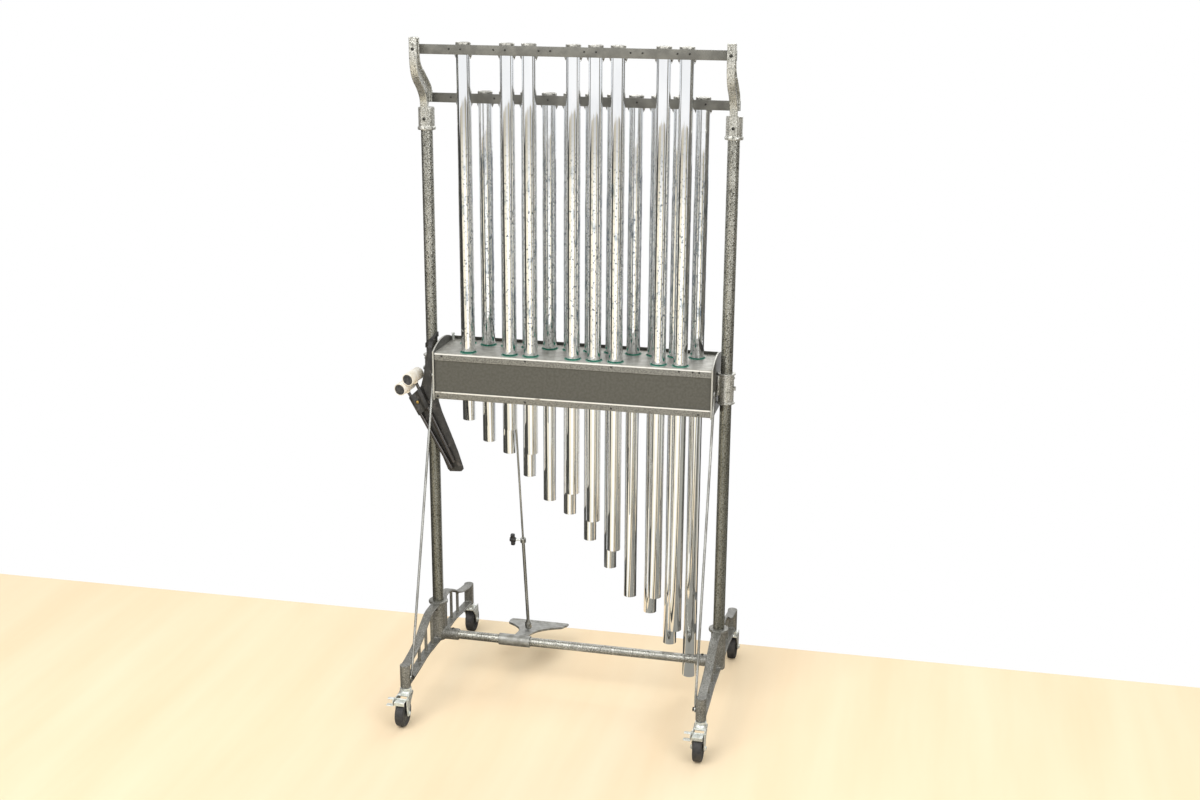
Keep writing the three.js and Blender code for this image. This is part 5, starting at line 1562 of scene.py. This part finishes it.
@dataclass
class Casters:
    """Four swivel casters: fork with stem, race and nut, wheel on its hub, and two brakes."""

    stance: Stance
    wheel_radius: float = 37.5
    wheel_half: float = 12.0
    hub_half: float = 13.5
    trail: float = 28.0
    cheek_inner: float = 15.0
    cheek_outer: float = 17.5
    fork_top: float = 88.0
    fork_sheet: float = 4.0
    race_radius: float = 18.0
    stem_radius: float = 5.5
    stem_depth: float = 42.0
    lever_pin: tuple[float, float] = (-33.0, 80.5)
    shoe_front: float = -55.0
    shoe_low: float = 71.0
    tab_reach: float = 38.0

    def fork(self, place: CasterPlace) -> None:
        """Bends and stamps one fork, with its stem, race, washers and axle nuts.

        Args:
            place: the caster's place.
        """
        y, z = -self.trail, self.wheel_radius
        under, top = self.stance.leg_underside, self.fork_top
        flank = spline([(14, top), (8, top - 8), (-10, top - 26), (y + 13, z + 10), (y + 9, z + 2)], 5)
        nose = arc((y, z), 9, 0, -180, 12)
        back = spline([(y - 9, z + 1), (-38, z + 6), (-41, top - 22), (-39.5, top - 6), (-38, top)], 5)
        cheek = np.concatenate([flank, nose, back])
        sides = [slab(cheek, min(a, b), max(a, b), Plane.YZ, 0.7)
                 for a, b in ((-self.cheek_outer, -self.cheek_inner), (self.cheek_inner, self.cheek_outer))]
        bridge = rounded_rectangle(-self.cheek_outer, self.cheek_outer, -23, 14, 3)
        r = self.race_radius
        race = turned([(0, top - 4), (15, top - 4), (r, top - 1.5), (r, top + 2), (r - 2.2, top + 5),
                       (14, top + 7), (0, top + 7)], sides=48)
        washers = [rod((0, 0, top + 6.5), (0, 0, top + 8.6), 16.2, 0.7, 48),
                   hexagon(16.5, 5.6, (0, 0, top + 8.8), (0, 0, 1))]
        stem = rod((0, 0, top), (0, 0, under + self.stem_depth), self.stem_radius, 0.8)
        axle = rod((-self.cheek_outer - 4.6, y, z), (self.cheek_outer + 4.6, y, z), 3.6, 0.8)
        nuts = [hexagon(6.5, 3.8, (way * self.cheek_outer, y, z), (way, 0, 0)) for way in (-1, 1)]
        shells = [*sides, slab(bridge, top - self.fork_sheet, top, Plane.XY, 0.8), race, *washers, stem,
                  axle, *nuts]
        add_piece(f"caster_{place.label}_fork", place.set(shells, self.stance), ZINC,
                  f"caster_{place.label}", [f"caster_fork_{place.label}"])

    def wheel(self, place: CasterPlace) -> None:
        """Moulds one wheel: a crowned tread and a hub with a raised rim.

        Args:
            place: the caster's place.
        """
        r, half, axis = self.wheel_radius, self.wheel_half, (0, -self.trail, self.wheel_radius)
        edge = arc((r - 4, half - 4), 4, 0, 90, 5)
        right = np.concatenate([[(r, 0)], edge, [(26, half), (24.6, half - 0.8), (23.4, half)]])
        tread = np.concatenate([right, [(21.5, half), (21.5, -half)], (right * np.array([1, -1]))[::-1]])
        tyre = place.set([turned(tread, axis, (1, 0, 0), 96)], self.stance)
        add_piece(f"wheel_{place.label}_tread", tyre, RUBBER, f"wheel_{place.label}",
                  [f"wheel_{place.label}"])
        h = self.hub_half
        hub = turned([
            (4, -h), (8, -h), (9, -h + 1.2), (12, -half + 1.8), (19, -half + 1), (21.4, -half + 0.2),
            (21.4, half - 0.2), (19, half - 1), (12, half - 1.8), (9, h - 1.2), (8, h), (4, h),
        ], axis, (1, 0, 0), 64)
        add_piece(f"wheel_{place.label}_hub", place.set([hub], self.stance), KNOB, f"wheel_{place.label}")

    def brake(self, place: CasterPlace) -> None:
        """Folds one brake lever: a shoe over the tread, two arms, and foot tabs at one side.

        Args:
            place: the caster's place.
        """
        y, z = self.lever_pin
        front, low = self.shoe_front, self.shoe_low
        inner, outer = self.cheek_inner - 0.6, self.cheek_outer + 0.3
        sheet, half = 2.5, 1.25
        shells = [
            rod((-outer - sheet, y, z), (outer + sheet, y, z), 2.2, 0.4, 20),
            block((-inner, front, z - half), (inner, y, z + half), 0.8),
            block((-inner, front - sheet, low), (inner, front, z + half), 0.8),
            block((-outer - sheet, front, low - sheet), (-outer, y + 4.4, z + 4.4), 0.8),
            block((-self.tab_reach, (front + y) / 2, z + half), (-outer, y, z + half + sheet), 0.9),
            block((-self.tab_reach, front - sheet, low - sheet), (-outer, (front + y) / 2, low), 0.9),
        ]
        side = place.label.split("_")[1]
        add_piece(f"brake_{side}_lever", place.set(shells, self.stance), ZINC, f"brake_{side}",
                  [f"brake_lever_{side}"])

    def build(self) -> None:
        """Builds the four casters; only the two at the audience's side have brakes."""
        for place in CasterPlace:
            self.fork(place)
            self.wheel(place)
            if place.front:
                self.brake(place)


@dataclass
class MalletHolster:
    """The leather holster at the left post and its two mallets."""

    stance: Stance
    plane_y: float = -52.0
    back_front: float = -46.0
    back_rear: float = -41.0
    shaft_radius: float = 5.5
    shaft_length: float = 268.0
    head_radius: float = 17.5
    head_length: float = 60.0
    head_turn: float = 13.0
    strap_low: float = 1001.0
    strap_high: float = 1014.0
    strap_radius: float = 19.0
    strap_slope: float = 0.9
    width: float = 148.0
    past_post: float = 48.0
    low: float = 657.0
    first: tuple[Point, Point] = ((-39.7, 929.0), (73.0, 690.0))
    second: tuple[Point, Point] = ((-64.0, 899.5), (67.0, 669.0))
    loop_shares: tuple[float, float] = (0.13, 0.35)
    loop_margin: float = 4.0
    stitch: float = 4.0
    stitch_pitch: float = 6.0
    stitch_inset: float = 4.5
    thread_radius: float = 0.55
    rivet: tuple[float, float] = (-26.2, 857.7)
    outline: tuple[Point, ...] = (
        (0.338, 1), (0.432, 1), (0.432, 0.658), (0.48, 0.597), (0.534, 0.569), (0.588, 0.49),
        (0.784, 0.286), (0.899, 0.162), (1, 0.028), (0.953, 0.006), (0.703, 0), (0.527, 0.182),
        (0.169, 0.445), (0, 0.574), (0.081, 0.636), (0.189, 0.681), (0.247, 0.776), (0.291, 0.891))

    def backing(self) -> np.ndarray:
        """The outline of the backing in XZ about the left post, with its corners cut in three
        steps.

        Returns:
            The outline's points.
        """
        corners = np.array([(x * self.width - self.past_post, self.low + z * (self.strap_high - self.low))
                            for x, z in self.outline])
        before, after = np.roll(corners, 1, axis=0), np.roll(corners, -1, axis=0)
        share = np.array([0.72, 0.9, 1.0])[None, :, None]
        into = before[:, None] + share[:, :2] * (corners - before)[:, None]
        out = corners[:, None] + (1 - share[:, 1::-1]) * (after - corners)[:, None]
        return np.concatenate([into, out], axis=1).reshape(-1, 2)

    def band(self, start: float, end: float, front: float, hump: float) -> Shell:
        """A leather band across both shafts. Its front face at share s of the way across stands
        out by hump (1 - cos 4 pi s) / 2, over each shaft.

        Args:
            start: the share of the shafts' length where it starts.
            end: the share where it ends.
            front: its front face in Y between the shafts.
            hump: how far it stands out over each.

        Returns:
            The closed shape.
        """
        heads, feet = (np.array([self.first[n], self.second[n]]) for n in (0, 1))
        across = unit(np.array([feet[0][1] - heads[0][1], heads[0][0] - feet[0][0]]))
        margin = self.loop_margin + self.shaft_radius
        left = [heads[0] + s * (feet[0] - heads[0]) - margin * across for s in (start, end)]
        right = [heads[1] + s * (feet[1] - heads[1]) + margin * across for s in (start, end)]
        if np.dot(right[0] - left[0], across) < 0:
            left, right = right, left
        share = np.linspace(0, 1, 41)[:, None]
        upper, lower = left[0] + share * (right[0] - left[0]), left[1] + share * (right[1] - left[1])
        ends = np.clip(np.minimum(share, 1 - share)[:, 0] * 14, 0, 1)
        bulge = front - hump * (1 - np.cos(4 * np.pi * share[:, 0])) / 2 * ends
        bulge = self.back_front - 1 + (bulge - self.back_front + 1) * ends

        def row(line: np.ndarray, level: np.ndarray) -> np.ndarray:
            """Places of a line in XZ at a level in Y."""
            return np.stack([line[:, 0], level, line[:, 1]], axis=1)

        inset = 0.06
        soft_upper, soft_lower = upper + inset * (lower - upper), lower + inset * (upper - lower)
        rear = np.full(len(share), self.back_front + 1.5)
        rows = [row(upper, rear), row(upper, bulge + 1.2), row(soft_upper, bulge), row(soft_lower, bulge),
                row(lower, bulge + 1.2), row(lower, rear)]
        return loft(np.stack(rows, axis=1))

    def stitches(self, outline: np.ndarray) -> list[Shell]:
        """Stitches along the backing's edge, as short rounded rods.

        Args:
            outline: the backing's outline.

        Returns:
            The stitches.
        """
        closed = np.concatenate([outline, outline[:1]])
        length = np.concatenate([[0], np.cumsum(np.linalg.norm(np.diff(closed, axis=0), axis=1))])

        def place(along: np.ndarray) -> np.ndarray:
            """Places at these lengths along the outline."""
            return np.stack([np.interp(along, length, closed[:, n]) for n in (0, 1)], axis=1)

        starts = np.arange(0, length[-1] - self.stitch, self.stitch_pitch)
        a, b = place(starts), place(starts + self.stitch)
        ahead = unit(b - a)
        inward = np.stack([ahead[:, 1], -ahead[:, 0]], axis=1)
        area = (closed[:-1, 0] * closed[1:, 1] - closed[1:, 0] * closed[:-1, 1]).sum()
        inward = inward * -np.sign(area) * self.stitch_inset
        y = self.back_front - 0.1
        return [rod((p[0], y, p[1]), (q[0], y, q[1]), self.thread_radius, 0.4, 8)
                for p, q in zip(a + inward, b + inward)]

    def holster(self) -> None:
        """Cuts, folds and stitches the leather."""
        at = (-self.stance.post_x, 0, 0)
        outline = self.backing()
        radius, rise = self.strap_radius, 2 * self.strap_radius * self.strap_slope
        turn = np.linspace(0, 2 * np.pi, 64, endpoint=False)
        level = self.strap_low + rise * (1 + np.cos(turn)) / 2
        bore = self.stance.post_radius + self.stance.clearance

        def ring(r: float, h: float) -> np.ndarray:
            """A ring of the sloping strap, at a radius and a height over its lower edge."""
            return np.stack([r * np.cos(turn), r * np.sin(turn), level + h], axis=1)

        height = self.strap_high - self.strap_low
        strap = loft(np.stack([ring(bore, 0), ring(radius - 0.6, 0), ring(radius, 0.8),
                               ring(radius, height - 0.8), ring(radius - 0.6, height),
                               ring(bore, height)]), closed=True)
        lead = spline([(8.5, -43.5, 990), (8.5, -43.4, 1004), (8, -40, 1014), (7, -32, 1022),
                       (6, -23, 1026), (5, -18, 1026)], 6)
        tab = swept(rounded_rectangle(-6.5, 6.5, -1.5, 1.5, 1, 2), lead, (1, 0, 0))
        upper = self.band(*self.loop_shares, self.plane_y - 4.5, 3.8)
        back = slab(outline, self.back_front, self.back_rear, Plane.XZ, 1.2)
        shells = [back, upper, strap, tab]
        add_piece("holster_leather", [s.moved(at) for s in shells], HIDE, STAND, ["mallet_holster"])
        add_piece("holster_stitches", [s.moved(at) for s in self.stitches(outline)], THREAD)
        x, z = self.rivet
        rivet = turned([(0, 0), (4.6, 0), (4.4, 0.8), (3.2, 1.7), (1.6, 2.1), (0, 2.2)],
                       (x, self.plane_y - 8, z), (0, -1, 0), 24)
        add_piece("holster_rivet", [rivet.moved(at)], BRASS)

    def mallet(self, name: str, head: Point, foot: Point) -> None:
        """Turns one mallet: a rolled rawhide head with worn faces on a lacquered shaft.

        Args:
            name: its name, which its node and its body have too.
            head: the middle of its head, in X from the left post and in Z.
            foot: a place on its shaft's line further down.
        """
        lean = math.degrees(math.atan2(foot[0] - head[0], head[1] - foot[1]))
        turn = turn_about("Y", -lean)
        at = (head[0] - self.stance.post_x, self.plane_y, head[1])
        angle = math.radians(self.head_turn)
        way = np.array([math.sin(angle), math.cos(angle), 0])
        half, r = self.head_length / 2, self.head_radius
        rim = [(r - 2.4, half - 0.6), (r - 2, half), (r - 1.2, half), (r, half - 1.4)]
        barrel = turned([(0, -half + 0.6), *((radius, -height) for radius, height in rim), *rim[::-1],
                         (0, half - 0.6)], (0, 0, 0), way, 64)
        faces = [turned([(0, 0), (r - 2.6, 0), (r - 2.9, 0.5), (0, 0.55)], way * w * (half - 0.6),
                        way * w, 48) for w in (-1, 1)]
        s, long = self.shaft_radius, self.shaft_length
        shaft = turned([
            (0, -long), (s - 1.6, -long), (s - 0.2, -long + 2), (s, -long + 5), (s, -long + 70),
            (s - 0.7, -long * 0.45), (s - 1.1, -30), (s - 1.1, -12), (s - 0.4, -10), (0, -6),
        ], sides=32)
        collar = turned([(0, -r - 3), (s + 0.6, -r - 3), (s + 1.4, -r - 1.6), (s + 1.4, -r + 2),
                         (0, -r + 3)], sides=32)
        add_piece(f"{name}_head", [barrel.moved(at, turn)], RAWHIDE, name, [name])
        add_piece(f"{name}_faces", [f.moved(at, turn) for f in faces], HEAD_FACE, name)
        add_piece(f"{name}_shaft", [shaft.moved(at, turn)], SHAFT, name)
        add_piece(f"{name}_collar", [collar.moved(at, turn)], RAWHIDE, name)

    def build(self) -> None:
        """Builds the holster and both mallets."""
        self.holster()
        self.mallet("mallet_one", *self.first)
        self.mallet("mallet_two", *self.second)


@dataclass
class Studio:
    """Pale floor, soft lamps, the camera, and cards and flags that only the chrome shows. Sizes
    here are in metres."""

    camera_place: tuple[float, float, float] = (0.9886, -3.9450, 2.0675)
    yaw: float = 12.70
    pitch: float = 16.32
    roll: float = 0.0073
    lens: float = 46.06
    sensor: float = 36.0
    floor_half: float = 30.0
    wall_start: tuple[float, float] = (-1.0, 0.39)
    wall_end: tuple[float, float] = (1.78, 0.44)
    warm_reach: tuple[float, float] = (2.6, 3.4)
    mirror_reach: tuple[float, float] = (0.7, 1.3)
    ambient: float = 0.66
    mat_wedges: tuple[tuple[str, float, float, str], ...] = (
        ("mat_dark_left", -150, -52, "#35342f"), ("card_cream_left", -52, -14, "#f1e7cf"),
        ("card_white_middle", -14, 24, "#fdfcf9"), ("card_cream_right", 24, 40, "#eadfc4"),
        ("mat_dark_middle", 39, 48, "#3b3a35"), ("mat_grey_right", 56, 104, "#9a988f"),
        ("mat_dark_right", 112, 150, "#45443f"))
    card_reach: tuple[float, float] = (0.02, 9.0)
    card_level: float = 0.002
    card_roughness: float = 0.95
    flag_stands: tuple[tuple[float, float, str], ...] = ((-2.7, -0.9, "#333332"), (2.7, -1.1, "#6d6c67"))
    flag_rear: float = 2.4
    flag_top: float = 3.2
    floor_near: tuple[str, str] = ("#f6dab2", "#ffefd0")
    floor_far: str = "#f6f6f5"
    lamps: tuple[tuple[str, Point, Point, float, float], ...] = (
        ("key_lamp", (-1.6, -3.4, 3.9), (0, 0, 1.0), 3.0, 114.0),
        ("fill_lamp", (3.0, -2.8, 2.9), (0, 0, 0.8), 2.6, 60.0),
        ("back_lamp", (0.4, 3.2, 3.6), (0, 0, 1.0), 2.6, 54.0))

    def camera(self) -> None:
        """Places the camera. Forward is (-sin yaw cos pitch, cos yaw cos pitch, -sin pitch)."""
        yaw, pitch = math.radians(self.yaw), math.radians(self.pitch)
        forward = Vector((-math.sin(yaw) * math.cos(pitch), math.cos(yaw) * math.cos(pitch),
                          -math.sin(pitch)))
        level = Vector((math.cos(yaw), math.sin(yaw), 0))
        up = level.cross(forward)
        c, s = math.cos(self.roll), math.sin(self.roll)
        columns = (c * level + s * up, c * up - s * level, -forward)
        data = bpy.data.cameras.new("camera")
        data.lens, data.sensor_width = self.lens, self.sensor
        camera = add_object("camera", data)
        turn = Matrix(columns).transposed().to_4x4()
        camera.matrix_world = Matrix.Translation(self.camera_place) @ turn
        bpy.context.scene.camera = camera

    def floor(self) -> None:
        """Lays a pale floor. It is warm round the bells up to the foot of the wall, and white
        beyond; a mirror and the camera see the white as plain white. Past mirror_reach from the
        middle, mirrors see the warm floor as plain glowing white too: a painted reflection."""
        half = self.floor_half
        mesh = bpy.data.meshes.new("floor")
        corners = [(-half, -half, 0), (half, -half, 0), (half, half, 0), (-half, half, 0)]
        mesh.from_pydata(corners, [], [(0, 1, 2, 3)])
        material = bpy.data.materials.new("floor_pale_laminate")
        material.use_nodes = True
        tree = material.node_tree
        tree.nodes.clear()
        where = add_node(tree, "ShaderNodeTexCoord").outputs["Object"]
        axes = add_node(tree, "ShaderNodeSeparateXYZ", {}, {0: where}).outputs
        (x0, y0), (x1, y1) = self.wall_start, self.wall_end
        slope = (y1 - y0) / (x1 - x0)
        line = add_node(tree, "ShaderNodeMath", {"operation": "MULTIPLY_ADD"},
                        {0: axes["X"], 1: slope, 2: y0 - slope * x0})
        beyond = add_node(tree, "ShaderNodeMath", {"operation": "GREATER_THAN"},
                          {0: axes["Y"], 1: line.outputs[0]})
        away = add_node(tree, "ShaderNodeVectorMath", {"operation": "LENGTH"}, {0: where})
        far = add_node(tree, "ShaderNodeMapRange", EASED,
                       {"Value": away.outputs["Value"], "From Min": self.warm_reach[0],
                        "From Max": self.warm_reach[1]})
        white = add_node(tree, "ShaderNodeMath", GREATER, {0: beyond.outputs[0], 1: far.outputs[0]})
        boards = add_node(tree, "ShaderNodeMapping", {}, {"Vector": where, "Scale": (3.0, 0.3, 1)})
        grain = add_node(tree, "ShaderNodeTexNoise", {},
                         {"Vector": boards.outputs[0], "Scale": 2.4, "Detail": 4.0})
        warm = add_node(tree, "ShaderNodeMix", OF_COLOURS,
                        {0: grain.outputs[0], 6: linear(self.floor_near[0]), 7: linear(self.floor_near[1])})
        colour = add_node(tree, "ShaderNodeMix", OF_COLOURS,
                          {0: white.outputs[0], 6: warm.outputs[2], 7: linear(self.floor_far)})
        matt = add_node(tree, "ShaderNodeBsdfPrincipled", {},
                        {"Base Color": colour.outputs[2], "Roughness": 0.7, "Specular IOR Level": 0.0})
        plain = add_node(tree, "ShaderNodeEmission", {}, {"Color": linear("#ffffff"), "Strength": 1.0})
        plainly = add_node(tree, "ShaderNodeMath", TIMES,
                           {0: white.outputs[0], 1: self.seen(tree)})
        # Painted reflection: past mirror_reach the floor glows plain white to glossy rays, though the camera
        # sees it warm.
        nearer = add_node(tree, "ShaderNodeMapRange", EASED,
                          {"Value": away.outputs["Value"], "From Min": self.mirror_reach[0],
                           "From Max": self.mirror_reach[1]})
        glossy = add_node(tree, "ShaderNodeLightPath").outputs["Is Glossy Ray"]
        painted_mirror_glow = add_node(tree, "ShaderNodeMath", TIMES, {0: nearer.outputs[0], 1: glossy})
        share = add_node(tree, "ShaderNodeMath", GREATER,
                         {0: plainly.outputs[0], 1: painted_mirror_glow.outputs[0]})
        mixed = add_node(tree, "ShaderNodeMixShader", {},
                         {0: share.outputs[0], 1: matt.outputs[0], 2: plain.outputs[0]})
        add_node(tree, "ShaderNodeOutputMaterial", {}, {"Surface": mixed.outputs[0]})
        mesh.materials.append(material)
        floor = add_object("floor", mesh)

    def seen(self, tree: bpy.types.NodeTree) -> bpy.types.NodeSocket:
        """Tells which rays see the plain white.

        Args:
            tree: the node tree.

        Returns:
            1 for the camera's rays and for those that a mirror or glass sends on, else 0.
        """
        path = add_node(tree, "ShaderNodeLightPath").outputs
        mirror = add_node(tree, "ShaderNodeMath", GREATER,
                          {0: path["Is Camera Ray"], 1: path["Is Glossy Ray"]})
        return add_node(tree, "ShaderNodeMath", GREATER,
                        {0: mirror.outputs[0], 1: path["Is Transmission Ray"]}).outputs[0]

    def card(self, name: str, corners: Sequence[Point], colour: str) -> None:
        """Sets up a card, unseen but for its mirror image in the chrome.

        Args:
            name: its name.
            corners: its four corners.
            colour: its colour.
        """
        mesh = bpy.data.meshes.new(name)
        mesh.from_pydata(corners, [], [(0, 1, 2, 3)])
        material = bpy.data.materials.new(name)
        material.use_nodes = True
        shader = material.node_tree.nodes["Principled BSDF"]
        shader.inputs["Base Color"].default_value = linear(colour)
        shader.inputs["Roughness"].default_value = self.card_roughness
        mesh.materials.append(material)
        card = add_object(name, mesh)
        card.visible_camera = False
        card.visible_diffuse = False
        card.visible_shadow = False

    def cards(self) -> None:
        """Lays wedges of card on the floor round the bells, which the chrome mirrors as lines.
        Each lies between two directions from the middle, in degrees from -Y towards +X."""
        near, far = self.card_reach
        for name, start, end, colour in self.mat_wedges:
            one, other = math.radians(start), math.radians(end)
            self.card(name, [(r * math.sin(turn), -r * math.cos(turn), self.card_level)
                             for r, turn in ((near, one), (far, one), (far, other), (near, other))], colour)

    def flags(self) -> None:
        """Hangs a dark flag at each side, out of the picture, which draws the dark bands along
        the chrome."""
        rear, top = self.flag_rear, self.flag_top
        for side, (x, front, colour) in zip(Side, self.flag_stands):
            corners = [(x, front, 0.0), (x, rear, 0.0), (x, rear, top), (x, front, top)]
            self.card(f"flag_{side.label}", corners, colour)

    def light(self) -> None:
        """Sets the lamps and the even light of the room."""
        for name, place, aim, size, power in self.lamps:
            data = bpy.data.lights.new(name, "AREA")
            data.size, data.energy = size, power
            lamp = add_object(name, data)
            lamp.location = place
            lamp.rotation_euler = (Vector(aim) - Vector(place)).to_track_quat("-Z", "Y").to_euler()
        world = bpy.data.worlds.new("studio")
        world.use_nodes = True
        tree = world.node_tree
        tree.nodes.clear()
        level = add_node(tree, "ShaderNodeMapRange", {},
                         {"Value": self.seen(tree), "To Min": self.ambient, "To Max": 1.0})
        sky = add_node(tree, "ShaderNodeBackground", {},
                       {"Color": linear("#ffffff"), "Strength": level.outputs[0]})
        add_node(tree, "ShaderNodeOutputWorld", {}, {"Surface": sky.outputs[0]})
        bpy.context.scene.world = world

    def build(self) -> None:
        """Sets up the studio."""
        self.camera()
        self.floor()
        self.cards()
        self.flags()
        self.light()
        bpy.context.scene.view_settings.view_transform = "Standard"


def main() -> None:
    """Builds the studio and every part of the bells."""
    logging.basicConfig(level=logging.INFO, format="%(name)s: %(message)s")
    stance = Stance()
    Studio().build()
    for part in (Stand(stance), Rails(stance), Bells(stance), DamperBox(stance), PedalWork(stance),
                 Casters(stance), MalletHolster(stance)):
        part.build()


if __name__ == "__main__":
    main()
